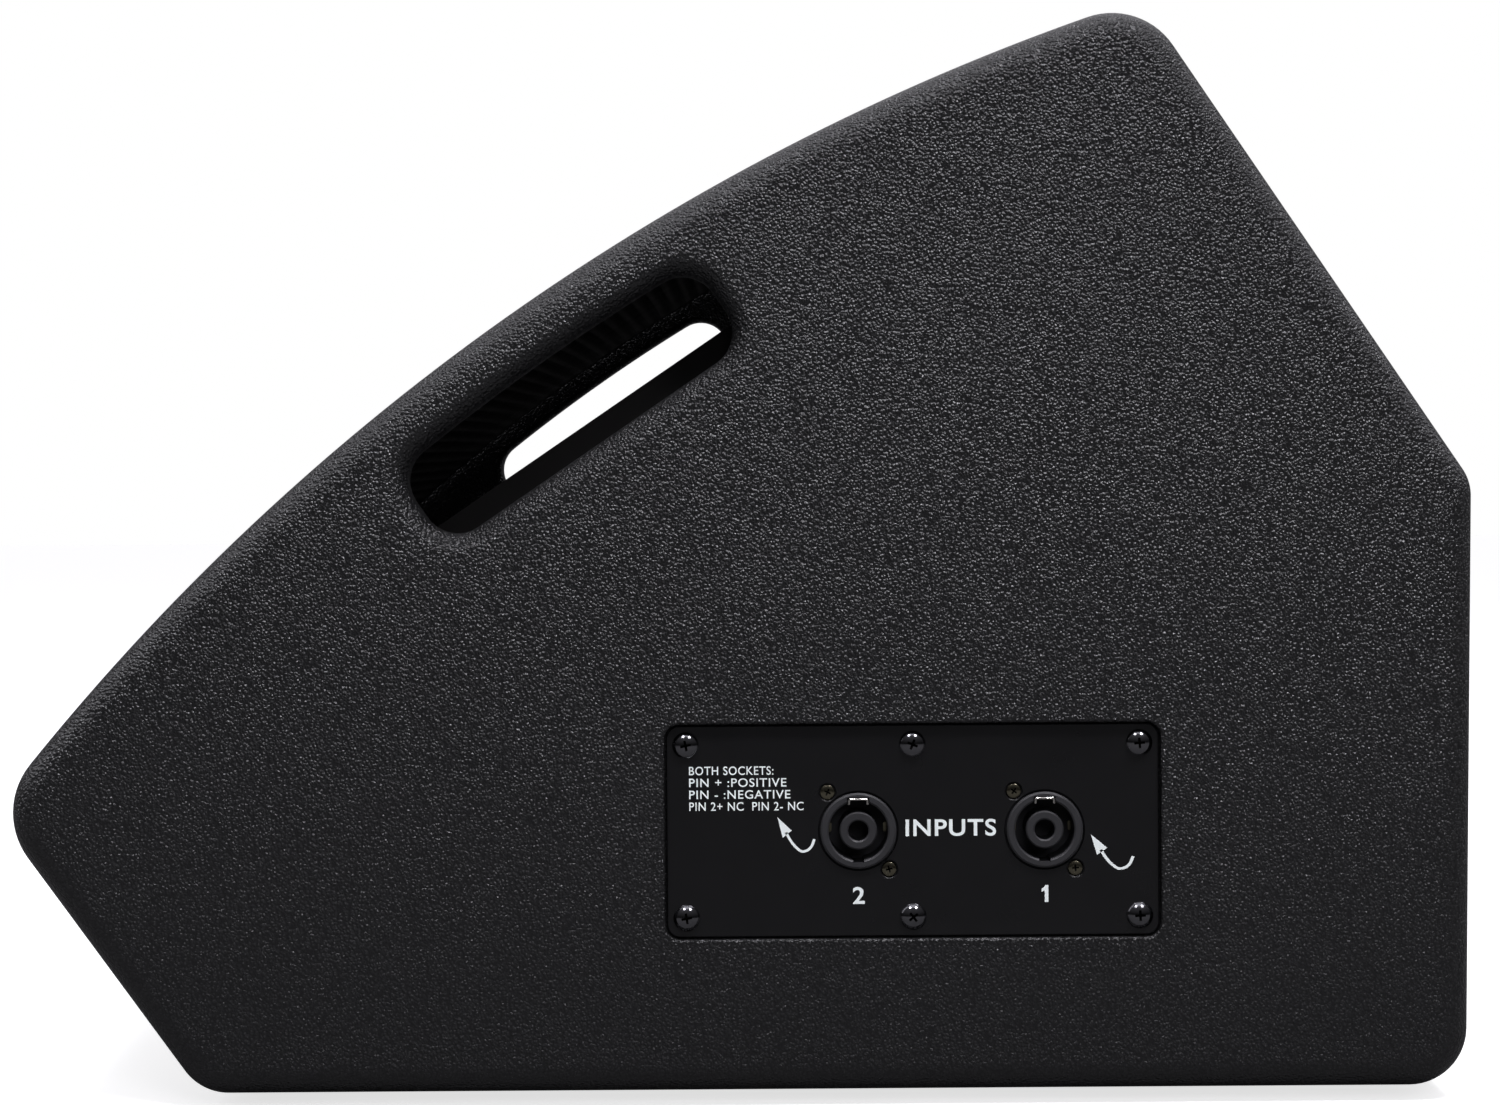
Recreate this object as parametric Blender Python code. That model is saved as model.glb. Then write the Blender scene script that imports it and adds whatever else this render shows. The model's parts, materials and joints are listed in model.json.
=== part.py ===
"""Stage monitor wedge: plywood cabinet, curved grille, woofer, horn, ports and input plate.

Metres, +Z up. The floor is z = 0, the width runs along X, the grille faces -Y and up.
The cabinet's side view is drawn in the YZ plane and extruded along X.
"""

import math

import bmesh
import bpy
from mathutils import Matrix, Vector

# Cabinet
WIDTH = 0.580
SIDE = 0.018                 # side panel thickness
PANEL = 0.018                # other panels' thickness
GAP = 0.0003                 # between pieces that touch
FOOT_H = 0.004
EDGE_R = 0.009               # rounding of the side panels' outer edges
OVER = 0.01                  # how far a cutter stands past what it cuts
HALF = WIDTH / 2
INNER = HALF - SIDE          # inner face of a side panel
SPAN = INNER - GAP           # half length of the panels between the sides

# Side view: straight faces as (point on face, direction), anticlockwise seen from +X
FLOOR_LINE = (Vector((0.0, FOOT_H)), Vector((1.0, 0.0)))
REAR_LINE = (Vector((0.2269, 0.104)), Vector((0.0113, 1.0)))
SLOPE_ANGLE = math.radians(34.1)          # baffle and grille chord above horizontal
ALONG = Vector((math.cos(SLOPE_ANGLE), math.sin(SLOPE_ANGLE)))     # up the baffle
OUT = Vector((-math.sin(SLOPE_ANGLE), math.cos(SLOPE_ANGLE)))      # out of the baffle
REAR_SLOPE = (Vector((0.2208, 0.2026)), OUT)
KICK_LINE = (Vector((-0.2050, 0.0543)), Vector((0.586, -0.810)))
ARC_CENTRE = Vector((0.349, -0.3601))
ARC_R = 0.737
NOSE_R = 0.024
TOP_R = 0.023
REAR_MID_R = 0.015
REAR_BOTTOM_R = 0.018
FRONT_BOTTOM_R = 0.017
SHARPEST_R = 0.0002
OUTLINE_STEPS = (5, 14)      # along a corner, along the front curve
SLOT_STEPS = (3, 6)
ROUNDING_STEPS = 3           # across a rounded edge

# Baffle
BAFFLE_POINT = Vector((-0.0437, 0.2143))  # on the front face, in the handle slot's middle
BAFFLE_T = 0.018
BRACE_X = (0.049, 0.061)
BRACE_HALF = 0.060           # half depth of the brace, about Y = 0

# Grille and the rails that hold its ends
GRILLE_INSET = 0.008
GRILLE_T = 0.0015
GRILLE_HALF = 0.191          # half length up the baffle
RAIL_AT = 0.178              # rails start this far from the baffle's middle
GRILLE_SIDE_GAP = 0.0007
GRILLE_END_GAP = 0.001
GRILLE_SCREW_AT = 0.1845
GRILLE_SCREW_X = 0.200
GRILLE_PILOT = 0.0065        # depth of a grille screw's pilot hole

# Handle slot
SLOT_LENGTH = 0.113
SLOT_CENTRE = -0.0052        # up the baffle
SLOT_LOW = -0.0076           # lower edge, measured out of the baffle face
SLOT_INSET = 0.0177          # upper edge, inside the front curve
SLOT_CORNER_R = 0.0115
SLOT_LIP_R = 0.007

# Input plate
PLATE_SIZE = (0.1526, 0.0655)
PLATE_T = 0.002
PLATE_R = 0.004
PLATE_AT = Vector((0.0535, 0.0850))
RECESS = 0.0024              # plate face below the side panel's face
RECESS_GAP = 0.0006
PLATE_WINDOW = (0.124, 0.046)             # opening behind the plate
PLATE_WINDOW_R = 0.006
PLATE_SCREW_PITCH = (0.0703, 0.0536)
PLATE_PILOT = 0.016          # depth of a plate screw's pilot hole
SOCKET_AT = (-0.0169, 0.0409)             # along Y from the plate's centre
SOCKET_SCREW = (0.0095, 0.012)            # half pitch of the two diagonal screws
SOCKET_HOLE_R = 0.0124
NOSE_R_OUT = 0.0120          # socket's nose ring
NOSE_FACE_R = 0.0105
NOSE_H = 0.0014
BARREL_R = 0.0112
BARREL_END = -0.0262
WELL_FLOOR = -0.0175
WELL_R = (0.00585, 0.00925)
POST_TOP = 0.0008
POST_HOLE_R = 0.00315
KEY_FLOOR = 0.0005           # above the well's floor
WIDE_KEY = (0.0035, 0.0070, 0.0103)       # half width, inner and outer reach
NARROW_KEY = (0.00175, 0.0070, 0.0098)
SOCKET_FLANGE = (0.0260, 0.0310)
SOCKET_FLANGE_T = 0.0025
SOCKET_FLANGE_R = 0.004

# Screws: head radius, head height, shank radius, shank length
PLATE_PAN = (0.0041, 0.0022, 0.0015, 0.012)
GRILLE_PAN = (0.0040, 0.0022, 0.0015, 0.0055)
WOOFER_PAN = (0.0050, 0.0028, 0.0023, 0.014)
SOCKET_SUNK = (0.0030, 0.0013, 0.008)     # head radius, shank radius, length
PILOT_R = 0.0018             # clearance for the plate and grille screws
SUNK_PILOT_R = 0.0016
SUNK_RIM_R = 0.0036          # countersink just above the plate's face
BOLT_HOLE_R = 0.0028
CROSS_ARM = 0.5              # of the head's radius
CROSS_WIDTH = 0.11
CROSS_FLOOR = 0.35           # of the head's height

# Feet
FOOT_R = 0.0150
FOOT_CHAMFER = (0.0015, 0.0008)
FOOT_X = 0.225
FOOT_Y = (-0.100, 0.170)

# Woofer, about its own axis; z is measured out of the baffle's front face
WOOFER_X = -0.112
WOOFER_S = -0.006
FRAME_R = 0.155
FLANGE_T = 0.0040            # of the woofer's frame and of the horn
SEAT_GAP = 0.0005            # round a flange let into the baffle
CUTOUT_R = 0.141
BOLT_CIRCLE_R = 0.148
BASKET_R = 0.1390
BASKET_WALL = 0.0045
SHOULDER_Z = -0.0240
BASKET_FOOT_R = 0.0740
BASKET_END = -0.0780
BASKET_BORE_R = 0.0460
WINDOW_R = (0.0920, 0.1600)
WINDOW_HALF = 0.030
WINDOW_Z = (-0.0640, -0.0270)
WINDOWS = 6
TOP_PLATE_R = (0.0270, 0.0720)
TOP_PLATE_Z = (-0.0863, -0.0783)
MAGNET_R = (0.0400, 0.0780)
MAGNET_Z = (-0.1066, -0.0866)
MAGNET_CHAMFER = 0.0020
YOKE_R = 0.0740
YOKE_Z = (-0.1149, -0.1069)
POLE_R = 0.0240
POLE_TOP = -0.0768
POLE_EASE = 0.0015           # rounding at the pole's top
VENT_R = 0.0080
COIL_R = (0.0251, 0.0258)
COIL_Z = (-0.0960, -0.0500)
CONE_SECTION = [(0.0265, -0.0520), (0.0500, -0.0380), (0.0830, -0.0215), (0.1170, -0.0085)]
CONE_SKIN = 0.0014
CAP_R = 0.0400
CAP_BASE = -0.0420
CAP_RISE = 0.0155
CAP_SKIN = 0.0010
SURROUND_R = (0.1175, 0.1325)
SURROUND_Z = -0.0055
SURROUND_FOLD = 0.0040
SURROUND_SKIN = 0.0009
SPIDER_R = (0.0262, 0.0635)
SPIDER_Z = (-0.0610, -0.0690)
SPIDER_FOLD = 0.0022
SPIDER_SKIN = 0.0008

# Steps round turned pieces
ROUND = 32
HALF_ROUND = 24
SMALL_ROUND = 20
SCREW_STEPS = 8

# Horn and its driver
HORN_X = 0.160
HORN_S = -0.002
HORN_FLANGE = (0.176, 0.150)
HORN_MOUTH = (0.146, 0.120)
HORN_SEAT_R = 0.0125
HORN_LEDGE = 0.011           # baffle left under the horn's flange
HORN_HOLE_R = 0.010
HORN_SQUARE = -1.2           # roundness of the flange's corners
HORN_SPREAD = 1.7            # how late the flare opens
HORN_WALL = 0.003
THROAT_R = 0.0127
HORN_DEPTH = 0.092
THROAT_NECK = 0.0340
THROAT_FLANGE = 0.0760
THROAT_FLANGE_T = 0.006
DRIVER_R = 0.0450
DRIVER_L = 0.040
DRIVER_EASE = 0.002
DRIVER_GROOVE = (0.0212, 0.0242)
GROOVE_DEPTH = 0.008
DRIVER_BORE_R = 0.0160
COVER_R = (0.0320, 0.0400)
COVER_L = 0.018
COVER_EASE = 0.004
COVER_FLOOR = 0.0120
DOME_R = 0.0222
DOME_SEAT = 0.0015
DOME_RISE = 0.0060
DOME_SKIN = (0.0006, 0.0005)
DOME_RIM = 0.0020
SKIRT_R = 0.0230
SKIRT_L = 0.0055

# Ports
PORT_X = (0.112, 0.208)
PORT_S = -0.140
PORT_R = 0.025
PORT_WALL = 0.003
PORT_LENGTH = 0.100
PORT_FLANGE_R = 0.0340
PORT_FLANGE_H = 0.0030
PORT_EASE = 0.0008

# Crossover, on the back panel
BOARD_X = 0.120
BOARD_Z = 0.105
BOARD_FACE = 0.2065          # Y of the board's rear face, just clear of the back panel
BOARD_T = 0.0016
BOARD_HALF = (0.065, 0.045)
INDUCTOR_R = (0.0070, 0.0175)
INDUCTOR_H = 0.0150
INDUCTOR_X = -0.038          # from the board's middle
INDUCTOR_Z = (0.018, -0.020)
CAPACITOR_R = 0.0080
CAPACITOR_HALF = 0.016
CAPACITOR_EASE = 0.001
CAPACITOR_X = 0.015
CAPACITOR_Z = (0.025, 0.004)
RESISTOR_X = (-0.004, 0.046)
RESISTOR_Z = (-0.030, -0.018)
RESISTOR_H = 0.009
WIRE_R = 0.0022
WIRE_CLEAR = 0.001           # between a wire's end and what it would be soldered to


# ---------------------------------------------------------------- side view geometry

def left_of(direction):
    """The unit normal on the left of a direction: inwards on an anticlockwise outline."""
    return Vector((-direction.y, direction.x)).normalized()


def foot_on_line(point, line):
    """The nearest point of a line."""
    direction = line[1].normalized()
    return line[0] + direction * (point - line[0]).dot(direction)


def lines_meet(line_a, line_b):
    """Where two lines cross."""
    normal = left_of(line_b[1])
    run = (line_b[0] - line_a[0]).dot(normal) / line_a[1].dot(normal)
    return line_a[0] + line_a[1] * run


def shifted(line, distance):
    """A line moved inwards."""
    return line[0] + left_of(line[1]) * distance, line[1]


def line_meets_circle(line, centre, radius, forward):
    """Where a line crosses a circle, at its far end if forward is true."""
    direction = line[1].normalized()
    foot = foot_on_line(centre, line)
    half = math.sqrt(radius * radius - (foot - centre).length_squared)
    return foot + direction * (half if forward else -half)


def arc_points(centre, radius, start, end, count):
    """Points on an anticlockwise arc from the direction of start to that of end."""
    first = math.atan2(start.y - centre.y, start.x - centre.x)
    last = math.atan2(end.y - centre.y, end.x - centre.x)
    while last < first:
        last += 2 * math.pi
    points = []
    for i in range(count + 1):
        angle = first + (last - first) * i / count
        points.append(centre + Vector((math.cos(angle), math.sin(angle))) * radius)
    return points


def towards(centre, point, radius):
    """The point at a radius from the centre, in the direction of another point."""
    return centre + (point - centre).normalized() * radius


def curved_outline(lines, radii, arc_centre, arc_radius, inset, corner_steps, arc_steps):
    """Anticlockwise outline of straight faces closed by one arc, all moved inwards by inset.

    The arc runs from the last line's end to the first line's start; radii are the corner
    radii: between each pair of lines, then line to arc, then arc to first line.
    """
    faces = [shifted(line, inset) for line in lines]
    big = arc_radius - inset
    rounds = [max(radius - inset, SHARPEST_R) for radius in radii]
    points = []
    for first, second, radius in zip(faces, faces[1:], rounds):
        centre = lines_meet(shifted(first, radius), shifted(second, radius))
        start = foot_on_line(centre, first)
        end = foot_on_line(centre, second)
        points += arc_points(centre, radius, start, end, corner_steps)
    radius = rounds[-2]
    top = line_meets_circle(shifted(faces[-1], radius), arc_centre, big - radius, True)
    arc_start = towards(arc_centre, top, big)
    points += arc_points(top, radius, foot_on_line(top, faces[-1]), arc_start, corner_steps)
    radius = rounds[-1]
    nose = line_meets_circle(shifted(faces[0], radius), arc_centre, big - radius, False)
    arc_end = towards(arc_centre, nose, big)
    points += arc_points(arc_centre, big, arc_start, arc_end, arc_steps)[1:-1]
    points += arc_points(nose, radius, arc_end, foot_on_line(nose, faces[0]), corner_steps)
    return points


def cabinet_outline(inset=0.0):
    """The cabinet's side view."""
    return curved_outline(
        [KICK_LINE, FLOOR_LINE, REAR_LINE, REAR_SLOPE],
        [FRONT_BOTTOM_R, REAR_BOTTOM_R, REAR_MID_R, TOP_R, NOSE_R],
        ARC_CENTRE, ARC_R, inset, *OUTLINE_STEPS,
    )


def on_baffle(along, out):
    """A point of the side view from its places along and out of the baffle's front face."""
    return BAFFLE_POINT + ALONG * along + OUT * out


def slot_outline(grow=0.0):
    """The handle slot: straight lower edge, upper edge parallel to the front curve."""
    low = (on_baffle(0.0, SLOT_LOW), ALONG)
    left = (on_baffle(SLOT_CENTRE - SLOT_LENGTH / 2, 0.0), -OUT)
    right = (on_baffle(SLOT_CENTRE + SLOT_LENGTH / 2, 0.0), OUT)
    corners = [SLOT_CORNER_R] * 4
    return curved_outline(
        [left, low, right], corners, ARC_CENTRE, ARC_R - SLOT_INSET, -grow, *SLOT_STEPS
    )


def clip(points, at, outward):
    """The part of a convex outline on the inner side of a line."""
    kept = []
    count = len(points)
    for i, here in enumerate(points):
        following = points[(i + 1) % count]
        side_here = (here - at).dot(outward)
        side_next = (following - at).dot(outward)
        if side_here <= 0:
            kept.append(here)
        if side_here * side_next < 0:
            kept.append(here.lerp(following, side_here / (side_here - side_next)))
    return [p for i, p in enumerate(kept) if (p - kept[i - 1]).length > 1e-5]


def mitre(line_a, line_b):
    """The corner where two faces meet, and the direction of its bisecting cut."""
    outer = lines_meet(line_a, line_b)
    inner = lines_meet(shifted(line_a, PANEL), shifted(line_b, PANEL))
    return outer, inner - outer


def band(line, cuts):
    """The strip of the side view within a panel's thickness of one face, cut at its ends."""
    points = cabinet_outline()
    points = clip(points, shifted(line, PANEL)[0], left_of(line[1]))
    for at, outward in cuts:
        unit = outward.normalized()
        points = clip(points, at - unit * (GAP / 2), unit)
    return points


# ---------------------------------------------------------------- making objects

def material(name, colour, roughness, metallic=0.0):
    """A plain surface for one sub-part."""
    made = bpy.data.materials.new(name)
    made.use_nodes = True
    shader = made.node_tree.nodes["Principled BSDF"]
    shader.inputs["Base Color"].default_value = (*colour, 1.0)
    shader.inputs["Roughness"].default_value = roughness
    shader.inputs["Metallic"].default_value = metallic
    made.diffuse_color = (*colour, 1.0)
    return made


LOOKS = {
    "coating": ((0.022, 0.022, 0.023), 0.62, 0.0),
    "plywood": ((0.50, 0.34, 0.19), 0.70, 0.0),
    "rubber": ((0.03, 0.03, 0.03), 0.85, 0.0),
    "steel_black": ((0.02, 0.02, 0.02), 0.45, 0.6),
    "screw_black": ((0.015, 0.015, 0.016), 0.22, 0.8),
    "plate_black": ((0.006, 0.006, 0.007), 0.35, 0.2),
    "socket_plastic": ((0.02, 0.02, 0.021), 0.40, 0.0),
    "screw_dull": ((0.10, 0.09, 0.07), 0.45, 0.9),
    "board": ((0.05, 0.16, 0.08), 0.50, 0.0),
    "copper": ((0.60, 0.26, 0.12), 0.35, 0.9),
    "capacitor": ((0.10, 0.12, 0.30), 0.40, 0.0),
    "ceramic": ((0.75, 0.72, 0.65), 0.60, 0.0),
    "frame_metal": ((0.04, 0.04, 0.042), 0.40, 0.7),
    "magnet": ((0.07, 0.07, 0.075), 0.70, 0.1),
    "zinc": ((0.55, 0.55, 0.55), 0.35, 0.9),
    "paper": ((0.035, 0.035, 0.035), 0.85, 0.0),
    "cloth": ((0.09, 0.07, 0.05), 0.90, 0.0),
    "coil_former": ((0.45, 0.28, 0.12), 0.50, 0.0),
    "horn_plastic": ((0.025, 0.025, 0.027), 0.42, 0.0),
    "diaphragm": ((0.60, 0.62, 0.66), 0.30, 0.9),
    "wire_red": ((0.45, 0.03, 0.03), 0.50, 0.0),
}


def finish(mesh_maker, name, look, parent=None, angle=35.0):
    """Turn a bmesh into a named object with its own material."""
    bmesh.ops.remove_doubles(mesh_maker, verts=mesh_maker.verts, dist=1e-6)
    bmesh.ops.recalc_face_normals(mesh_maker, faces=mesh_maker.faces)
    mesh = bpy.data.meshes.new(name)
    mesh_maker.to_mesh(mesh)
    mesh_maker.free()
    mesh.shade_smooth()
    mesh.set_sharp_from_angle(angle=math.radians(angle))
    made = bpy.data.objects.new(name, mesh)
    bpy.context.collection.objects.link(made)
    mesh.materials.append(material(name, *LOOKS[look]))
    made.parent = parent
    return made


def ring_loft(rings, closed=False):
    """A bmesh skin over rings of points; capped at both ends, or joined end to start."""
    mesh_maker = bmesh.new()
    loops = [[mesh_maker.verts.new(p) for p in ring] for ring in rings]
    pairs = list(zip(loops, loops[1:]))
    if closed:
        pairs.append((loops[-1], loops[0]))
    for lower, upper in pairs:
        for i in range(len(lower)):
            mesh_maker.faces.new((lower[i - 1], lower[i], upper[i], upper[i - 1]))
    if not closed:
        mesh_maker.faces.new(loops[0])
        mesh_maker.faces.new(loops[-1])
    return mesh_maker


def at_x(points, x):
    """Side-view points placed at one X."""
    return [Vector((x, p.x, p.y)) for p in points]


def prism(points, x_low, x_high):
    """A side-view outline extruded along X."""
    mesh_maker = bmesh.new()
    face = mesh_maker.faces.new([mesh_maker.verts.new(p) for p in at_x(points, x_low)])
    pushed = bmesh.ops.extrude_face_region(mesh_maker, geom=[face])
    moved = [v for v in pushed["geom"] if isinstance(v, bmesh.types.BMVert)]
    bmesh.ops.translate(mesh_maker, verts=moved, vec=(x_high - x_low, 0, 0))
    return mesh_maker


def turned(profile, steps=32):
    """A profile of (radius, z) points spun about Z; a closed ring unless it meets the axis."""
    mesh_maker = bmesh.new()
    verts = [mesh_maker.verts.new((r, 0.0, z)) for r, z in profile]
    edges = [mesh_maker.edges.new(pair) for pair in zip(verts, verts[1:])]
    if profile[0][0] > 0 or profile[-1][0] > 0:
        edges.append(mesh_maker.edges.new((verts[-1], verts[0])))
    bmesh.ops.spin(
        mesh_maker, geom=verts + edges, cent=(0, 0, 0), axis=(0, 0, 1),
        angle=2 * math.pi, steps=steps, use_merge=True,
    )
    bmesh.ops.remove_doubles(mesh_maker, verts=mesh_maker.verts, dist=1e-6)
    return mesh_maker


def rounded_box(size_x, size_y, z_low, z_high, radius, steps=4):
    """A plate in XY with rounded corners, from z_low to z_high."""
    points = []
    for index, (sx, sy) in enumerate(((1, 1), (-1, 1), (-1, -1), (1, -1))):
        centre = Vector((sx * (size_x / 2 - radius), sy * (size_y / 2 - radius)))
        for i in range(steps + 1):
            angle = math.pi / 2 * (index + i / steps)
            points.append(centre + Vector((math.cos(angle), math.sin(angle))) * radius)
    return ring_loft([[(p.x, p.y, z) for p in points] for z in (z_low, z_high)])


def box(low, high):
    """A box between two corners."""
    mesh_maker = bmesh.new()
    made = bmesh.ops.create_cube(mesh_maker, size=1.0)
    size = Vector(high) - Vector(low)
    centre = (Vector(high) + Vector(low)) / 2
    bmesh.ops.transform(
        mesh_maker, verts=made["verts"],
        matrix=Matrix.Translation(centre) @ Matrix.Diagonal((*size, 1.0)),
    )
    return mesh_maker


def rod(radius, z_low, z_high, steps=16):
    """A solid cylinder about Z."""
    return turned([(0.0, z_low), (radius, z_low), (radius, z_high), (0.0, z_high)], steps)


def combine(target, *others):
    """Apply a list of (operation, mesh, matrix) to an object with exact booleans."""
    for operation, mesh_maker, matrix in others:
        bmesh.ops.transform(mesh_maker, verts=mesh_maker.verts, matrix=matrix)
        bmesh.ops.recalc_face_normals(mesh_maker, faces=mesh_maker.faces)
        mesh = bpy.data.meshes.new("cutter")
        mesh_maker.to_mesh(mesh)
        mesh_maker.free()
        tool = bpy.data.objects.new("cutter", mesh)
        bpy.context.collection.objects.link(tool)
        modifier = target.modifiers.new("cut", "BOOLEAN")
        modifier.operation = operation
        modifier.solver = "EXACT"
        modifier.object = tool
        tool.parent = target.parent
        bpy.context.view_layer.update()
        shape = target.evaluated_get(bpy.context.evaluated_depsgraph_get())
        result = bpy.data.meshes.new_from_object(shape)
        target.modifiers.clear()
        cleaned = bmesh.new()
        cleaned.from_mesh(result)
        bmesh.ops.remove_doubles(cleaned, verts=cleaned.verts, dist=2e-6)
        bmesh.ops.dissolve_degenerate(cleaned, edges=cleaned.edges, dist=2e-6)
        cleaned.to_mesh(result)
        cleaned.free()
        old = target.data
        result.name = target.name
        target.data = result
        bpy.data.meshes.remove(old)
        bpy.data.objects.remove(tool)
        bpy.data.meshes.remove(mesh)
    return target


def cut(*makers, matrix=Matrix.Identity(4)):
    """Cuts for combine, all at one place."""
    return [("DIFFERENCE", maker, matrix) for maker in makers]


def move(x=0.0, y=0.0, z=0.0):
    """A shift."""
    return Matrix.Translation((x, y, z))


def empty(name, place):
    """A guide that carries a group of pieces."""
    made = bpy.data.objects.new(name, None)
    bpy.context.collection.objects.link(made)
    made.matrix_world = place
    bpy.context.view_layer.update()
    return made


def baffle_frame(x, along, out=0.0):
    """Axes on the baffle's face: X across, Y up the baffle, Z out of it."""
    at = on_baffle(along, out)
    turn = Matrix.Rotation(SLOPE_ANGLE, 4, "X")
    return Matrix.Translation((x, at.x, at.y)) @ turn


def plate_frame(side=HALF - RECESS):
    """Axes on the input plate's face: X towards the rear, Y up, Z out of the side panel."""
    axes = Matrix(((0, 0, 1, 0), (1, 0, 0, 0), (0, 1, 0, 0), (0, 0, 0, 1)))
    return Matrix.Translation((side, PLATE_AT.x, PLATE_AT.y)) @ axes


def grille_frame(x, along):
    """Axes on the grille's outer face at one place: Z straight out of the curve."""
    radius = ARC_R - GRILLE_INSET
    start = on_baffle(along, 0.0)
    line = (start, OUT)
    point = line_meets_circle(line, ARC_CENTRE, radius, True)
    normal = (point - ARC_CENTRE).normalized()
    tilt = math.atan2(-normal.x, normal.y)
    return Matrix.Translation((x, point.x, point.y)) @ Matrix.Rotation(tilt, 4, "X")


# ---------------------------------------------------------------- screws

def pan_screw(name, look, parent, size):
    """A pan-head screw on the plane z = 0, with a cross recess."""
    head_r, head_h, shank_r, shank = size
    profile = [(0.0, -shank), (shank_r, -shank), (shank_r, GAP), (head_r, GAP)]
    wall = head_h * 0.2
    for share in (0.2, 0.6):
        angle = math.pi / 2 * share
        rise = (head_h - wall) * math.sin(angle)
        profile.append((head_r * math.cos(angle), wall + rise))
    profile.append((0.0, head_h))
    screw = finish(turned(profile, SCREW_STEPS), name, look, parent)
    recess = cross(head_r * CROSS_ARM, head_r * CROSS_WIDTH, head_h * CROSS_FLOOR, OVER)
    return combine(screw, *cut(recess))


def cross(arm, width, low, high):
    """A plus-shaped cutter for a screw's recess."""
    corners = [(arm, -width), (arm, width), (width, width), (width, arm), (-width, arm),
               (-width, width), (-arm, width), (-arm, -width), (-width, -width),
               (-width, -arm), (width, -arm), (width, -width)]
    return ring_loft([[(x, y, z) for x, y in corners] for z in (low, high)])


def countersunk_screw(name, look, parent, size):
    """A countersunk screw flush with the plane z = 0."""
    head_r, shank_r, shank = size
    depth = head_r - shank_r
    profile = [(0.0, -shank), (shank_r, -shank), (shank_r, -depth), (head_r, 0.0), (0.0, 0.0)]
    screw = finish(turned(profile, SCREW_STEPS), name, look, parent)
    recess = cross(head_r * 0.55, head_r * 0.13, -head_r * 0.3, OVER)
    return combine(screw, *cut(recess))


# ---------------------------------------------------------------- cabinet

def plate_screw_places():
    """Screw centres on the input plate."""
    step_x, step_y = PLATE_SCREW_PITCH
    return [(column * step_x, row * step_y / 2) for row in (1, -1) for column in (-1, 0, 1)]


def socket_screw_places():
    """The two diagonal screws of each socket, on the input plate."""
    half_x, half_y = SOCKET_SCREW
    return [(y + sign * half_x, -sign * half_y) for y in SOCKET_AT for sign in (-1, 1)]


def rounding(radius):
    """Steps over a rounded edge, as places inwards and below the face."""
    steps = []
    for i in range(ROUNDING_STEPS + 1):
        angle = math.pi / 2 * i / ROUNDING_STEPS
        steps.append((radius * (1 - math.cos(angle)), radius * (1 - math.sin(angle))))
    return steps


def side_panel(name, side):
    """One cheek: rounded outer edge, handle slot with a rounded lip."""
    rings = [at_x(cabinet_outline(), side * INNER)]
    for inward, depth in rounding(EDGE_R):
        rings.append(at_x(cabinet_outline(inward), side * (HALF - depth)))
    panel = finish(ring_loft(rings), name, "coating")
    lip = [at_x(slot_outline(), side * (INNER - OVER))]
    for inward, depth in rounding(SLOT_LIP_R):
        lip.append(at_x(slot_outline(inward), side * (HALF - depth)))
    lip.append(at_x(slot_outline(SLOT_LIP_R), side * (HALF + OVER)))
    return combine(panel, *cut(ring_loft(lip)))


def input_side_panel():
    """The cheek that carries the input plate: recess, cut-out and pilot holes."""
    panel = side_panel("side_panel_right", 1)
    place = plate_frame(HALF)
    depth = RECESS + PLATE_T + GAP
    length = PLATE_SIZE[0] + 2 * RECESS_GAP
    height = PLATE_SIZE[1] + 2 * RECESS_GAP
    recess = rounded_box(length, height, -depth, OVER, PLATE_R + RECESS_GAP)
    window = rounded_box(*PLATE_WINDOW, -SIDE - OVER, OVER, PLATE_WINDOW_R)
    panel = combine(panel, *cut(recess, window, matrix=place))
    for px, py in plate_screw_places():
        hole = rod(PILOT_R, -PLATE_PILOT, OVER, SCREW_STEPS)
        combine(panel, *cut(hole, matrix=place @ move(px, py)))
    return panel


def panels():
    """The boards between the cheeks."""
    nose_cut = (on_baffle(0.0, 0.0), OUT)
    front_at, front_cut = mitre(KICK_LINE, FLOOR_LINE)
    back_at, back_cut = mitre(FLOOR_LINE, REAR_LINE)
    upper_at, upper_cut = mitre(REAR_LINE, REAR_SLOPE)
    front_normal = left_of(front_cut)
    back_normal = left_of(back_cut)
    upper_normal = left_of(upper_cut)
    shapes = {
        "front_kick_panel": (KICK_LINE, [nose_cut, (front_at, -front_normal)]),
        "bottom_panel": (FLOOR_LINE, [(front_at, front_normal), (back_at, -back_normal)]),
        "back_panel": (REAR_LINE, [(back_at, back_normal), (upper_at, -upper_normal)]),
        "rear_top_panel": (REAR_SLOPE, [(upper_at, upper_normal), nose_cut]),
    }
    for name, (line, cuts) in shapes.items():
        finish(prism(band(line, cuts), -SPAN, SPAN), name, "coating")


def rail(name, sign):
    """The strip that closes the nose or the top, with a step that the grille lies on."""
    points = clip(cabinet_outline(), on_baffle(0.0, GAP / 2), -OUT)
    points = clip(points, on_baffle(sign * RAIL_AT, 0.0), -ALONG * sign)
    strip = finish(prism(points, -SPAN, SPAN), name, "coating")
    deep = ARC_R - GRILLE_INSET - GRILLE_T - GAP
    inner = on_baffle(sign * (RAIL_AT - OVER), 0.0)
    outer = on_baffle(sign * (GRILLE_HALF + GRILLE_END_GAP), 0.0)
    low = [line_meets_circle((p, OUT), ARC_CENTRE, deep, True) for p in (inner, outer)]
    high = [p + OUT * (3 * OVER) for p in low]
    step = prism([low[0], low[1], high[1], high[0]], -HALF, HALF)
    combine(strip, *cut(step))
    for x in (-GRILLE_SCREW_X, GRILLE_SCREW_X):
        place = grille_frame(x, sign * GRILLE_SCREW_AT)
        pilot = rod(PILOT_R, -GRILLE_PILOT, OVER, SCREW_STEPS)
        combine(strip, *cut(pilot, matrix=place))
    return strip


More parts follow.
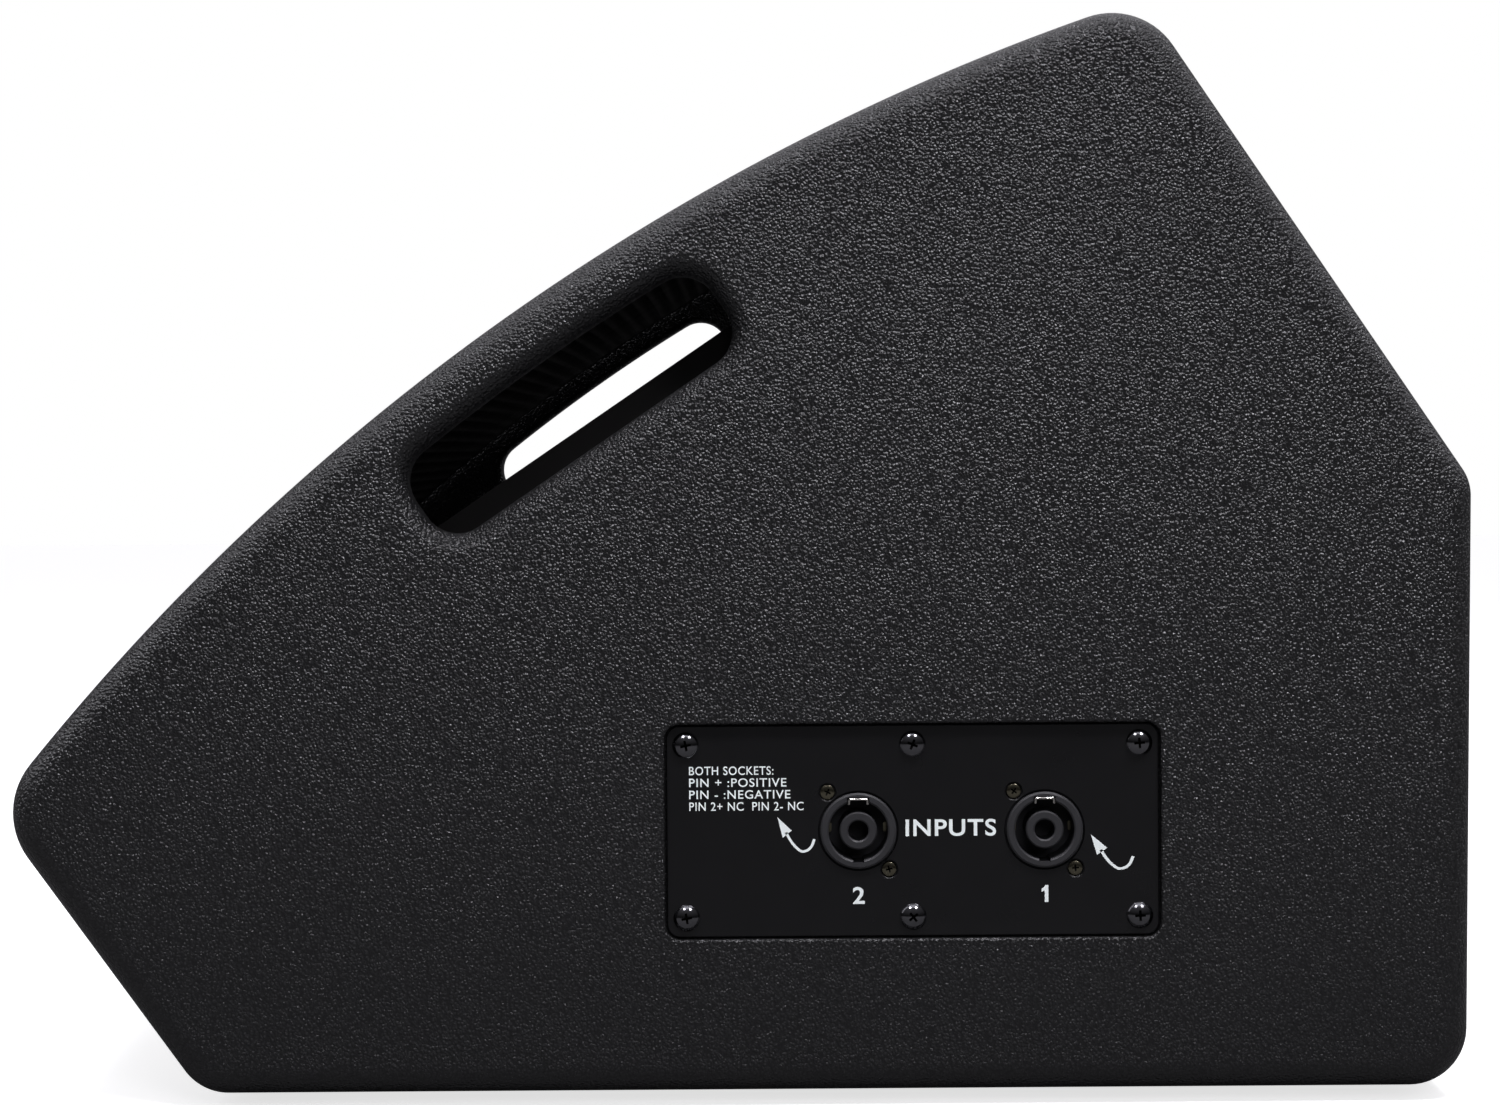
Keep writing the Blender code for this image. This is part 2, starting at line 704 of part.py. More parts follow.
def baffle():
    """The front board: openings for the woofer, the horn and the two ports."""
    low_s = lines_meet(shifted(KICK_LINE, PANEL + GAP), (on_baffle(0, -BAFFLE_T), ALONG))
    high_s = lines_meet(shifted(REAR_SLOPE, PANEL + GAP), (on_baffle(0, 0), ALONG))
    low = (low_s - BAFFLE_POINT).dot(ALONG)
    high = (high_s - BAFFLE_POINT).dot(ALONG)
    guide = empty("baffle_axes", baffle_frame(0.0, 0.0))
    board = box((-SPAN, low, -BAFFLE_T), (SPAN, high, -GAP / 2))
    board = finish(board, "baffle", "coating", guide)
    woofer_place = move(WOOFER_X, WOOFER_S)
    through = -BAFFLE_T - OVER
    seat_z = -FLANGE_T - GAP
    seat = rod(FRAME_R + SEAT_GAP, seat_z, OVER, ROUND)
    hole = rod(CUTOUT_R, through, OVER, ROUND)
    combine(board, *cut(seat, hole, matrix=woofer_place))
    for px, py in bolt_circle(BOLT_CIRCLE_R, 4):
        bore = rod(BOLT_HOLE_R, through, OVER, SCREW_STEPS)
        combine(board, *cut(bore, matrix=woofer_place @ move(px, py)))
    seat_size = [length + 2 * SEAT_GAP for length in HORN_FLANGE]
    hole_size = [length - 2 * HORN_LEDGE for length in HORN_FLANGE]
    horn_seat = rounded_box(*seat_size, seat_z, OVER, HORN_SEAT_R)
    horn_hole = rounded_box(*hole_size, through, OVER, HORN_HOLE_R)
    combine(board, *cut(horn_seat, horn_hole, matrix=move(HORN_X, HORN_S)))
    for x in PORT_X:
        port = rod(PORT_R + PORT_WALL + GAP, through, OVER, HALF_ROUND)
        combine(board, *cut(port, matrix=move(x, PORT_S)))
    return board


def bolt_circle(radius, count):
    """Evenly spread points on a circle, starting halfway between the axes."""
    angles = [2 * math.pi * (i + 0.5) / count for i in range(count)]
    return [(radius * math.cos(a), radius * math.sin(a)) for a in angles]


def brace():
    """A stiffening board between the woofer and the horn, from bottom to baffle."""
    points = clip(cabinet_outline(), Vector((0, FOOT_H + PANEL + GAP)), Vector((0, -1)))
    points = clip(points, on_baffle(0.0, -BAFFLE_T - GAP), OUT)
    points = clip(points, Vector((-BRACE_HALF, 0)), Vector((-1, 0)))
    points = clip(points, Vector((BRACE_HALF, 0)), Vector((1, 0)))
    return finish(prism(points, *BRACE_X), "brace", "plywood")


def grille():
    """The curved steel sheet between the cheeks."""
    outer_r = ARC_R - GRILLE_INSET
    inner_r = outer_r - GRILLE_T
    ends = [on_baffle(sign * GRILLE_HALF, 0.0) for sign in (1, -1)]
    arcs = []
    for radius in (outer_r, inner_r):
        start, end = [line_meets_circle((p, OUT), ARC_CENTRE, radius, True) for p in ends]
        arcs.append(arc_points(ARC_CENTRE, radius, start, end, SMALL_ROUND))
    half = SPAN - GRILLE_SIDE_GAP
    sheet = prism(arcs[0] + arcs[1][::-1], -half, half)
    sheet = finish(sheet, "grille", "steel_black")
    for sign in (-1, 1):
        for x in (-GRILLE_SCREW_X, GRILLE_SCREW_X):
            place = grille_frame(x, sign * GRILLE_SCREW_AT)
            combine(sheet, *cut(rod(PILOT_R, -OVER, OVER, SCREW_STEPS), matrix=place))
            end = "top" if sign > 0 else "nose"
            side = "left" if x < 0 else "right"
            guide = empty(f"grille_screw_axis_{end}_{side}", place)
            pan_screw(f"grille_screw_{end}_{side}", "screw_black", guide, GRILLE_PAN)
    return sheet


def feet():
    """Four rubber discs under the bottom panel."""
    top = FOOT_H - GAP
    inward, up = FOOT_CHAMFER
    profile = [(0.0, 0.0), (FOOT_R - inward, 0.0), (FOOT_R, up), (FOOT_R, top), (0.0, top)]
    for end, y in zip(("front", "rear"), FOOT_Y):
        for side, x in (("left", -FOOT_X), ("right", FOOT_X)):
            foot = finish(turned(profile, 16), f"foot_{end}_{side}", "rubber")
            foot.location = (x, y, 0.0)


# ---------------------------------------------------------------- input plate

def input_plate():
    """The plate, its screws, the two sockets and their screws."""
    guide = empty("plate_axes", plate_frame())
    plate = rounded_box(*PLATE_SIZE, -PLATE_T, 0.0, PLATE_R)
    plate = finish(plate, "input_plate", "plate_black", guide)
    for y in SOCKET_AT:
        hole = rod(SOCKET_HOLE_R, -OVER, OVER, HALF_ROUND)
        combine(plate, *cut(hole, matrix=move(y)))
    for px, py in plate_screw_places():
        hole = rod(PILOT_R, -OVER, OVER, SCREW_STEPS)
        combine(plate, *cut(hole, matrix=move(px, py)))
    sink_z = GAP - (SUNK_RIM_R - SUNK_PILOT_R)
    sink = [(0.0, -OVER), (SUNK_PILOT_R, -OVER), (SUNK_PILOT_R, sink_z), (SUNK_RIM_R, GAP),
            (0.0, GAP)]
    for px, py in socket_screw_places():
        combine(plate, *cut(turned(sink, 10), matrix=move(px, py)))
    for number, (px, py) in enumerate(plate_screw_places(), 1):
        screw = pan_screw(f"plate_screw_{number}", "screw_black", guide, PLATE_PAN)
        screw.location = (px, py, 0.0)
    for number, y in zip((2, 1), SOCKET_AT):
        socket(f"speaker_socket_{number}", guide, y)
    for number, (px, py) in enumerate(socket_screw_places(), 1):
        screw = countersunk_screw(f"socket_screw_{number}", "screw_dull", guide, SOCKET_SUNK)
        screw.location = (px, py, 0.0)


def socket(name, guide, y):
    """A chassis speaker socket: nose, annular well, centre post, two key slots, flange."""
    profile = [
        (0.0, NOSE_H), (NOSE_FACE_R, NOSE_H), (NOSE_R_OUT, NOSE_H - 0.0008),
        (NOSE_R_OUT, -0.0040), (BARREL_R, -0.0050), (BARREL_R, BARREL_END + 0.0017),
        (BARREL_R - 0.0017, BARREL_END), (0.0, BARREL_END),
    ]
    body = finish(turned(profile, HALF_ROUND), name, "socket_plastic", guide)
    back = -PLATE_T - GAP
    front = back - SOCKET_FLANGE_T
    flange = rounded_box(*SOCKET_FLANGE, front, back, SOCKET_FLANGE_R, 2)
    combine(body, ("UNION", flange, Matrix.Identity(4)))
    inner, outer = WELL_R
    ring = [(inner, WELL_FLOOR), (outer, WELL_FLOOR), (outer, OVER), (inner, OVER)]
    mouth = rod(0.0090, POST_TOP, OVER, HALF_ROUND)
    centre_hole = rod(POST_HOLE_R, -0.0150, OVER, 12)
    floor = WELL_FLOOR + KEY_FLOOR
    half, near, far = WIDE_KEY
    wide_key = box((-half, near, floor), (half, far, OVER))
    half, near, far = NARROW_KEY
    narrow_key = box((-half, -far, floor), (half, -near, OVER))
    well = turned(ring, HALF_ROUND)
    combine(body, *cut(well, mouth, centre_hole, wide_key, narrow_key))
    half_x, half_y = SOCKET_SCREW
    for sign in (-1, 1):
        hole = rod(SUNK_PILOT_R, -2 * OVER, OVER, SCREW_STEPS)
        combine(body, *cut(hole, matrix=move(sign * half_x, -sign * half_y)))
    body.location = (y, 0.0, 0.0)
    return body


# ---------------------------------------------------------------- woofer

def woofer():
    """Frame, motor and the moving cone, all about one axis."""
    guide = empty("woofer_axis", baffle_frame(WOOFER_X, WOOFER_S))
    foot = BASKET_FOOT_R
    wall = BASKET_R - 0.0015
    lining = BASKET_R - 0.0060
    lip = BASKET_R - 0.0010
    frame = [
        (FRAME_R, 0.0), (FRAME_R, -FLANGE_T), (BASKET_R, -FLANGE_T), (wall, SHOULDER_Z),
        (0.0880, -0.0690), (foot, -0.0730), (foot, BASKET_END),
        (BASKET_BORE_R, BASKET_END), (BASKET_BORE_R, -0.0740), (0.0660, -0.0700),
        (0.0840, -0.0650), (lining, SHOULDER_Z + 0.0025), (lining, -0.0060),
        (lining + 0.0020, -0.0020), (lip, 0.0),
    ]
    basket = finish(turned(frame, ROUND), "woofer_frame", "frame_metal", guide)
    for i in range(WINDOWS):
        window = box((WINDOW_R[0], -WINDOW_HALF, WINDOW_Z[0]),
                     (WINDOW_R[1], WINDOW_HALF, WINDOW_Z[1]))
        turn = Matrix.Rotation(2 * math.pi * (i + 0.5) / WINDOWS, 4, "Z")
        combine(basket, *cut(window, matrix=turn))
    for px, py in bolt_circle(BOLT_CIRCLE_R, 4):
        bore = rod(0.0026, -2 * OVER, OVER, SCREW_STEPS)
        combine(basket, *cut(bore, matrix=move(px, py)))
    motor(guide)
    moving_cone(guide)
    for number, (px, py) in enumerate(bolt_circle(BOLT_CIRCLE_R, 4), 1):
        bolt = pan_screw(f"woofer_bolt_{number}", "screw_black", guide, WOOFER_PAN)
        bolt.location = (px, py, 0.0)


def motor(guide):
    """Top plate, ring magnet and the yoke with its vented pole."""
    inner, outer = TOP_PLATE_R
    low, high = TOP_PLATE_Z
    top = [(inner, high), (inner, low), (outer, low), (outer, high)]
    finish(turned(top, ROUND), "woofer_top_plate", "zinc", guide)
    inner, outer = MAGNET_R
    low, high = MAGNET_Z
    ease = MAGNET_CHAMFER
    ring = [(inner, high), (inner, low), (outer - ease, low), (outer, low + ease),
            (outer, high - ease), (outer - ease, high)]
    finish(turned(ring, ROUND), "woofer_magnet", "magnet", guide)
    low, high = YOKE_Z
    yoke = [
        (VENT_R, low), (YOKE_R - 0.0020, low), (YOKE_R, low + 0.0020), (YOKE_R, high),
        (POLE_R + 0.0010, high), (POLE_R, high + 0.0010), (POLE_R, POLE_TOP - POLE_EASE),
        (POLE_R - POLE_EASE, POLE_TOP), (VENT_R, POLE_TOP),
    ]
    finish(turned(yoke, HALF_ROUND), "woofer_yoke", "zinc", guide)


def moving_cone(guide):
    """Cone, coil former and dust cap, with the surround and spider that carry them."""
    cone = thickened(CONE_SECTION, CONE_SKIN)
    finish(turned(cone, ROUND), "woofer_cone", "paper", guide)
    inner, outer = COIL_R
    low, high = COIL_Z
    former = [(inner, low), (outer, low), (outer, high), (inner, high)]
    finish(turned(former, SMALL_ROUND), "voice_coil_former", "coil_former", guide)
    dome = []
    for i in range(5):
        angle = math.pi / 2 * i / 4
        dome.append((CAP_R * math.sin(angle), CAP_BASE + CAP_RISE * math.cos(angle)))
    finish(turned(thickened(dome, CAP_SKIN), SMALL_ROUND), "woofer_dust_cap", "paper", guide)
    folds = pleats(*SURROUND_R, SURROUND_Z, SURROUND_Z, SURROUND_FOLD, 2, 3)
    folds = thickened(folds, SURROUND_SKIN)
    finish(turned(folds, ROUND), "woofer_surround", "cloth", guide)
    folds = thickened(pleats(*SPIDER_R, *SPIDER_Z, SPIDER_FOLD, 4, 2), SPIDER_SKIN)
    finish(turned(folds, HALF_ROUND), "woofer_spider", "cloth", guide)


def pleats(r_start, r_end, z_start, z_end, height, count, steps):
    """A radial profile with half-round folds, from one radius to another."""
    points = []
    total = count * steps
    for i in range(total + 1):
        share = i / total
        lift = height * abs(math.sin(math.pi * count * share))
        points.append((r_start + (r_end - r_start) * share,
                       z_start + (z_end - z_start) * share + lift))
    return points


def thickened(points, thickness):
    """A closed profile: a line of points and the same line below it."""
    return points + [(r, z - thickness) for r, z in reversed(points)]


# ---------------------------------------------------------------- horn and ports

def horn_ring(size_x, size_y, roundness, z, count=24):
    """One section of the horn: a circle at roundness 1, a soft rectangle towards 0."""
    power = 2.0 + 5.0 * (1.0 - roundness)
    ring = []
    for i in range(count):
        angle = 2 * math.pi * (i + 0.5) / count
        c, s = math.cos(angle), math.sin(angle)
        reach = (abs(c) ** power + abs(s) ** power) ** (-1.0 / power)
        ring.append(Vector((c * reach * size_x / 2, s * reach * size_y / 2, z)))
    return ring


def horn():
    """Flared horn with its flange, and the compression driver behind it."""
    guide = empty("horn_axis", baffle_frame(HORN_X, HORN_S))
    steps = 5
    inner = []
    outer = []
    for i in range(steps + 1):
        share = i / steps
        z = -HORN_DEPTH * (1 - share)
        bulge = share ** HORN_SPREAD
        size = [2 * THROAT_R + (mouth - 2 * THROAT_R) * bulge for mouth in HORN_MOUTH]
        outside = [length + 2 * HORN_WALL for length in size]
        inner.append(horn_ring(*size, 1 - bulge, z))
        outer.append(horn_ring(*outside, 1 - bulge, z))
    neck_z = -HORN_DEPTH + THROAT_FLANGE_T
    rings = inner
    rings += [horn_ring(*HORN_FLANGE, HORN_SQUARE, z) for z in (0.0, -FLANGE_T)]
    outer = [ring for ring in outer[::-1] if neck_z < ring[0].z < -FLANGE_T]
    mouth_back = [length + 0.004 for length in HORN_MOUTH]
    rings += [horn_ring(*mouth_back, 0.05, -FLANGE_T)] + outer
    rings += [horn_ring(THROAT_NECK, THROAT_NECK, 1.0, neck_z)]
    for z in (neck_z, -HORN_DEPTH):
        rings.append(horn_ring(THROAT_FLANGE, THROAT_FLANGE, 1.0, z))
    finish(ring_loft(rings, closed=True), "horn", "horn_plastic", guide)
    driver(guide)


def driver(guide):
    """Compression driver: motor body, rear cover and the moving diaphragm."""
    back = -HORN_DEPTH - GAP
    end = back - DRIVER_L
    ease = DRIVER_EASE
    near, far = DRIVER_GROOVE
    groove = end + GROOVE_DEPTH
    body = [
        (THROAT_R, back), (DRIVER_R - ease, back), (DRIVER_R, back - ease),
        (DRIVER_R, end + ease), (DRIVER_R - ease, end), (far, end), (far, groove),
        (near, groove), (near, end), (DRIVER_BORE_R, end),
    ]
    finish(turned(body, SMALL_ROUND), "driver_body", "steel_black", guide)
    lid = end - GAP
    inner, outer = COVER_R
    cover = [
        (0.0, lid - COVER_L), (outer - COVER_EASE, lid - COVER_L),
        (outer, lid - COVER_L + COVER_EASE), (outer, lid), (inner, lid),
        (inner, lid - COVER_FLOOR), (0.0, lid - COVER_FLOOR),
    ]
    finish(turned(cover, SMALL_ROUND), "driver_cover", "horn_plastic", guide)
    dome = []
    for i in range(6):
        angle = math.pi / 2 * i / 5
        z = lid - DOME_SEAT - DOME_RISE * math.cos(angle)
        dome.append((DOME_R * math.sin(angle), z))
    out, down = DOME_SKIN
    shell = [(r + out * (r > out), z - down) for r, z in dome[:-1]]
    skirt = [(DOME_R, lid + SKIRT_L), (SKIRT_R, lid + SKIRT_L), (SKIRT_R, lid - DOME_RIM)]
    profile = dome + skirt + shell[::-1]
    finish(turned(profile, 16), "hf_diaphragm", "diaphragm", guide)


def ports():
    """Two flanged tubes below the horn."""
    outer = PORT_R + PORT_WALL
    high = PORT_FLANGE_H
    profile = [
        (PORT_R + 0.003, high), (PORT_R + 0.0005, 0.0018), (PORT_R, -0.0010),
        (PORT_R, -PORT_LENGTH), (outer, -PORT_LENGTH), (outer, GAP),
        (PORT_FLANGE_R, GAP), (PORT_FLANGE_R, high - PORT_EASE),
        (PORT_FLANGE_R - PORT_EASE, high),
    ]
    for number, x in enumerate(PORT_X, 1):
        guide = empty(f"port_axis_{number}", baffle_frame(x, PORT_S))
        tube = turned(profile, SMALL_ROUND)
        finish(tube, f"port_tube_{number}", "horn_plastic", guide)


# ---------------------------------------------------------------- crossover and wiring

def crossover():
    """The filter board on the back panel, with its parts standing off it."""
    face = BOARD_FACE - BOARD_T
    half_x, half_z = BOARD_HALF
    board = box((BOARD_X - half_x, face, BOARD_Z - half_z),
                (BOARD_X + half_x, BOARD_FACE, BOARD_Z + half_z))
    finish(board, "crossover_board", "board")
    inner, outer = INDUCTOR_R
    coil = [(inner, 0.0), (outer, 0.0), (outer, INDUCTOR_H), (inner, INDUCTOR_H)]
    for number, dz in enumerate(INDUCTOR_Z, 1):
        made = finish(turned(coil, HALF_ROUND), f"inductor_{number}", "copper")
        made.rotation_euler = (math.pi / 2, 0, 0)
        made.location = (BOARD_X + INDUCTOR_X, face - GAP, BOARD_Z + dz)
    long, ease = CAPACITOR_HALF, CAPACITOR_EASE
    tube = [(0.0, -long), (CAPACITOR_R - ease, -long), (CAPACITOR_R, ease - long),
            (CAPACITOR_R, long - ease), (CAPACITOR_R - ease, long), (0.0, long)]
    for number, dz in enumerate(CAPACITOR_Z, 1):
        made = finish(turned(tube, 16), f"capacitor_{number}", "capacitor")
        made.rotation_euler = (0, math.pi / 2, 0)
        made.location = (BOARD_X + CAPACITOR_X, face - CAPACITOR_R - GAP, BOARD_Z + dz)
    low = (BOARD_X + RESISTOR_X[0], face - GAP - RESISTOR_H, BOARD_Z + RESISTOR_Z[0])
    high = (BOARD_X + RESISTOR_X[1], face - GAP, BOARD_Z + RESISTOR_Z[1])
    finish(box(low, high), "resistor", "ceramic")


def smooth_route(points, steps):
    """A Catmull-Rom curve through a few points."""
    padded = [points[0] * 2 - points[1]] + points + [points[-1] * 2 - points[-2]]
    route = []
    for a, b, c, d in zip(padded, padded[1:], padded[2:], padded[3:]):
        for i in range(steps):
            t = i / steps
            route.append(0.5 * ((2 * b) + (c - a) * t + (2 * a - 5 * b + 4 * c - d) * t * t
                                + (3 * b - a - 3 * c + d) * t ** 3))
    return route + [points[-1]]


def wire(name, points):
    """A round cable inside the cabinet along a smooth route."""
    route = smooth_route([Vector(p) for p in points], 4)
    curve = bpy.data.curves.new(name, "CURVE")
    curve.dimensions = "3D"
    curve.bevel_depth = WIRE_R
    curve.bevel_resolution = 0
    curve.use_fill_caps = True
    spline = curve.splines.new("POLY")
    spline.points.add(len(route) - 1)
    for point, place in zip(spline.points, route):
        point.co = (*place, 1.0)
    made = bpy.data.objects.new(name, curve)
    bpy.context.collection.objects.link(made)
    curve.materials.append(material(name, *LOOKS["wire_red"]))


def wiring():
    """Cables from a socket to the board, and from the board to both drivers."""
    board_end = BOARD_FACE - BOARD_T - WIRE_CLEAR
    socket_back = HALF - RECESS + BARREL_END - WIRE_CLEAR
    wire("input_wire", [
        (socket_back, PLATE_AT.x + SOCKET_AT[1], PLATE_AT.y),
        (socket_back - 0.010, PLATE_AT.x + SOCKET_AT[1], PLATE_AT.y),
        (socket_back - 0.026, PLATE_AT.x + 0.060, PLATE_AT.y - 0.004),
        (0.200, 0.150, 0.078),
        (BOARD_X + 0.056, 0.180, 0.100),
        (BOARD_X + 0.056, board_end, 0.104),
    ])
    wire("woofer_wire", [
        (BOARD_X - 0.058, board_end, 0.120),
        (BOARD_X - 0.064, 0.175, 0.122),
        (0.020, 0.150, 0.140),
        (0.000, 0.115, 0.169),
        (-0.004, 0.080, 0.1886),
    ])
    wire("horn_wire", [
        (BOARD_X + 0.056, board_end, 0.130),
        (BOARD_X + 0.056, 0.175, 0.132),
        (0.190, 0.140, 0.129),
        (0.192, 0.110, 0.1166),
    ])


def clear_scene():
    """Start from nothing."""
    for old in list(bpy.data.objects):
        bpy.data.objects.remove(old)


def main():
    """Build every sub-part."""
    clear_scene()
    side_panel("side_panel_left", -1)
    input_side_panel()
    panels()
    rail("front_rail", -1)
    rail("top_rail", 1)
    baffle()
    brace()
    grille()
    feet()
    input_plate()
    woofer()
    horn()
    ports()
    crossover()
    wiring()


main()
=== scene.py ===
"""Looks for the stage monitor wedge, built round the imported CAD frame.

Metres, the frame's own axes: +X towards the input plate's side, +Y rear, +Z up. In the side view
"along" runs up the baffle from its middle, and "out" stands square to the baffle's face.
"""

import json
from math import asin, atan2, cos, hypot, pi, radians, sin, sqrt

import bmesh
import bpy
import numpy as np
from mathutils import Matrix, Vector


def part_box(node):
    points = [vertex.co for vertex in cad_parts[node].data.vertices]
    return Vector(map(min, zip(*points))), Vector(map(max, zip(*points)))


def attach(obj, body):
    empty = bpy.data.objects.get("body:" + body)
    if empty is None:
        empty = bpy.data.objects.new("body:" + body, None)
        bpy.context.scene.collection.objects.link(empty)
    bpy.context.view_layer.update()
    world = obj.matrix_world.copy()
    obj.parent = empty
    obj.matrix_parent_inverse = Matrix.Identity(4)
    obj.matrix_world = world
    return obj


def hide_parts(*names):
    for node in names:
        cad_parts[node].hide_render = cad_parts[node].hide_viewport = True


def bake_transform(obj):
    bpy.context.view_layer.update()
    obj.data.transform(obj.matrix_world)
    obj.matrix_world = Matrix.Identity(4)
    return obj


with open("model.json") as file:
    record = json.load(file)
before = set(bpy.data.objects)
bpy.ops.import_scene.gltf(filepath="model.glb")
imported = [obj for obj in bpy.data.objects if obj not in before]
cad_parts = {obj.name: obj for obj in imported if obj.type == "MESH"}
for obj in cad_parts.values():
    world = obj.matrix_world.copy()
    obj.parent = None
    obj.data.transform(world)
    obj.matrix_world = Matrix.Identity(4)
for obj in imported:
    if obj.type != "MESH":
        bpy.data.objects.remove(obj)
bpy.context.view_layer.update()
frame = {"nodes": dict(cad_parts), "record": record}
NODES = frame["nodes"]

# ---- driving sizes

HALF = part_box("side_panel_right")[1].x  # the side panel's outer face
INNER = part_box("side_panel_right")[0].x  # and its inner face
FOOT_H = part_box("side_panel_right")[0].z
PANEL = 0.018
EDGE_R = 0.009  # rounded outer edges of the side panels
BACK_EDGE_R = 0.0004

SLOPE = radians(34.1)  # baffle above horizontal
ALONG = Vector((cos(SLOPE), sin(SLOPE)))
OUT = Vector((-sin(SLOPE), cos(SLOPE)))
BAFFLE_POINT = Vector((-0.0437, 0.2143))
FLOOR_LINE = (Vector((0.0, FOOT_H)), Vector((1.0, 0.0)))
REAR_LINE = (Vector((0.2269, 0.104)), Vector((0.0113, 1.0)))
REAR_SLOPE = (Vector((0.2208, 0.2026)), OUT)
KICK_LINE = (Vector((-0.2050, 0.0543)), Vector((0.586, -0.810)))
ARC_CENTRE = Vector((0.349, -0.3601))
ARC_R = 0.737
CORNER_RADII = [0.017, 0.018, 0.015, 0.023, 0.024]

GRILLE_INSET = 0.008
GRILLE_T = 0.0015
GRILLE_HALF = 0.191
GRILLE_MARGIN = 0.014
GRILLE_GAP = 0.0008  # to each side panel
GRILLE_SCREW_AT = 0.1845
HOLE_PITCH = 0.0070
HOLE_R = 0.0026
HOLE_SIDES = 10
BORDER_STEPS = 48
RAIL_AT = 0.178
LIP_AT = GRILLE_HALF + 0.001
LIP_R = 0.002

SLOT_LENGTH = 0.113
SLOT_CENTRE = -0.0052
SLOT_LOW = -0.0076
SLOT_INSET = 0.0177
SLOT_CORNER_R = 0.0115
SLOT_LIP_R = 0.007
SLOT_INNER_LIP_R = 0.0025

PLATE_LOW, PLATE_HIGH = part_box("input_plate")
PLATE_SIZE = PLATE_HIGH - PLATE_LOW
PLATE_MID = (PLATE_LOW + PLATE_HIGH) / 2
PLATE_R = 0.004
PLATE_EDGE = 0.0004
RECESS_GAP = 0.0006  # round the plate
CLEARANCE = 0.0003  # behind it
RECESS_RIM_R = 0.0009
WIRING_HOLE = (0.124, 0.046, 0.006)  # length, height and corner radius
SOCKET_HOLE_R = 0.01225
FIXING_HOLE_R = 0.00265
SCREW_HOLE_R = 0.0018
SOCKET_WELL = -0.0170
FLANGE_SIZE = (0.0260, 0.0310, 0.004)
FLANGE_T = 0.0025
FLANGE_HOLE_R = 0.01172
CONTACT_AT = 0.0086
PRINT_T = 0.00006
ARROW_HALF_WIDTH = 0.00042

# Pan heads: head radius, head height, shank radius and shank length.
PLATE_SCREW = (0.0041, 0.0024, 0.0015, 0.008)
FRAME_BOLT = (0.0050, 0.0029, 0.0023, 0.012)
SHORT_FRAME_BOLT = (0.0050, 0.0029, 0.0023, 0.003)
HORN_BOLT = (0.0045, 0.0026, 0.0018, 0.003)
GRILLE_SCREW = (0.0040, 0.0022, 0.0015, 0.004)
PLATE_SCREW_TURNS = (12.0, 68.0, 4.0, 10.0, 38.0, 2.0)  # degrees

WOOFER_X, WOOFER_S = -0.112, -0.006  # across, and along the baffle
BOLT_CIRCLE_R = 0.148
HORN_X, HORN_S = 0.160, -0.002
HORN_BOLT_AT = (0.080, 0.067)
HORN_FLANGE = (0.176, 0.150)
HORN_FLANGE_T = 0.004
HORN_MOUTH = (0.146, 0.120)
HORN_DEPTH = 0.092
HORN_WALL = 0.003
HORN_LIP = 0.0012
THROAT_R = 0.0127
COLLAR = (0.0340, 0.0760, 0.006)  # neck diameter, rim diameter and thickness
PORT_S = -0.140
PORT_X = (0.112, 0.208)

MERGE = 1e-7  # vertices nearer than this are one

# ---- coating and studio

COATING_RELIEF = 0.00048
PEBBLES = 1050.0  # of the coating, to the metre
STUDIO_TINT = (0.955, 0.940, 1.0)
WORLD_LOW, WORLD_HIGH = 0.025, 0.22  # light from the horizon and from overhead
CHEEK_SPOT = Vector((0.29, 0.05, 0.15))
CABINET_SPOT = Vector((0.0, 0.0, 0.2))
LAMPS = {  # place, target, width and watts
    "overhead_rear": ((0.78, 0.48, 1.20), CHEEK_SPOT, 0.24, 10.3),
    "overhead_front": ((0.78, -0.36, 1.24), CHEEK_SPOT, 0.24, 6.7),
    "front_fill": ((2.5, 0.3, 0.9), CHEEK_SPOT, 0.8, 17.0),  # makes no highlights
    "back_soft": ((-1.1, 2.0, 1.6), CABINET_SPOT, 2.2, 12.0),
    "grille_soft": ((-0.4, -1.9, 1.7), CABINET_SPOT, 2.2, 21.0),
    "left_soft": ((-1.9, 0.1, 2.2), CABINET_SPOT, 2.4, 15.0),
}
CEILING_POWER = 0.8
CEILING_SPREAD = radians(50)
FLOOR_SIZE = 8.0
FLOOR_DROP = 0.0004  # keeps the feet's soles clear of it
FLOOR_SEEN = (0.70, 0.70, 0.70)
FLOOR_REFLECTED = (0.15, 0.15, 0.15)
FLOOR_GLOW = 0.72  # for the camera only
CAMERA_AT = (HALF + 1.44, 0.0036, 0.2058)
CAMERA_PITCH = radians(1.36)
CAMERA_ROLL = radians(0.40)
FOCAL_MM, SENSOR_MM = 111.8, 36.0
NEAREST = 0.05


# ---- side view geometry

def left_of(direction):
    """The unit normal on the left of a direction."""
    return Vector((-direction.y, direction.x)).normalized()


def foot_on_line(point, line):
    """The nearest point of a line."""
    direction = line[1].normalized()
    return line[0] + direction * (point - line[0]).dot(direction)


def lines_meet(line_a, line_b):
    """Where two lines cross."""
    normal = left_of(line_b[1])
    run = (line_b[0] - line_a[0]).dot(normal) / line_a[1].dot(normal)
    return line_a[0] + line_a[1] * run


def shifted(line, distance):
    """A line moved inwards."""
    return line[0] + left_of(line[1]) * distance, line[1]


def line_meets_circle(line, centre, radius, forward=True):
    """Where a line crosses a circle, at its far end if forward is true."""
    direction = line[1].normalized()
    foot = foot_on_line(centre, line)
    half = sqrt(radius * radius - (foot - centre).length_squared)
    return foot + direction * (half if forward else -half)


def toward(angle):
    """The flat unit vector at an angle."""
    return Vector((cos(angle), sin(angle)))


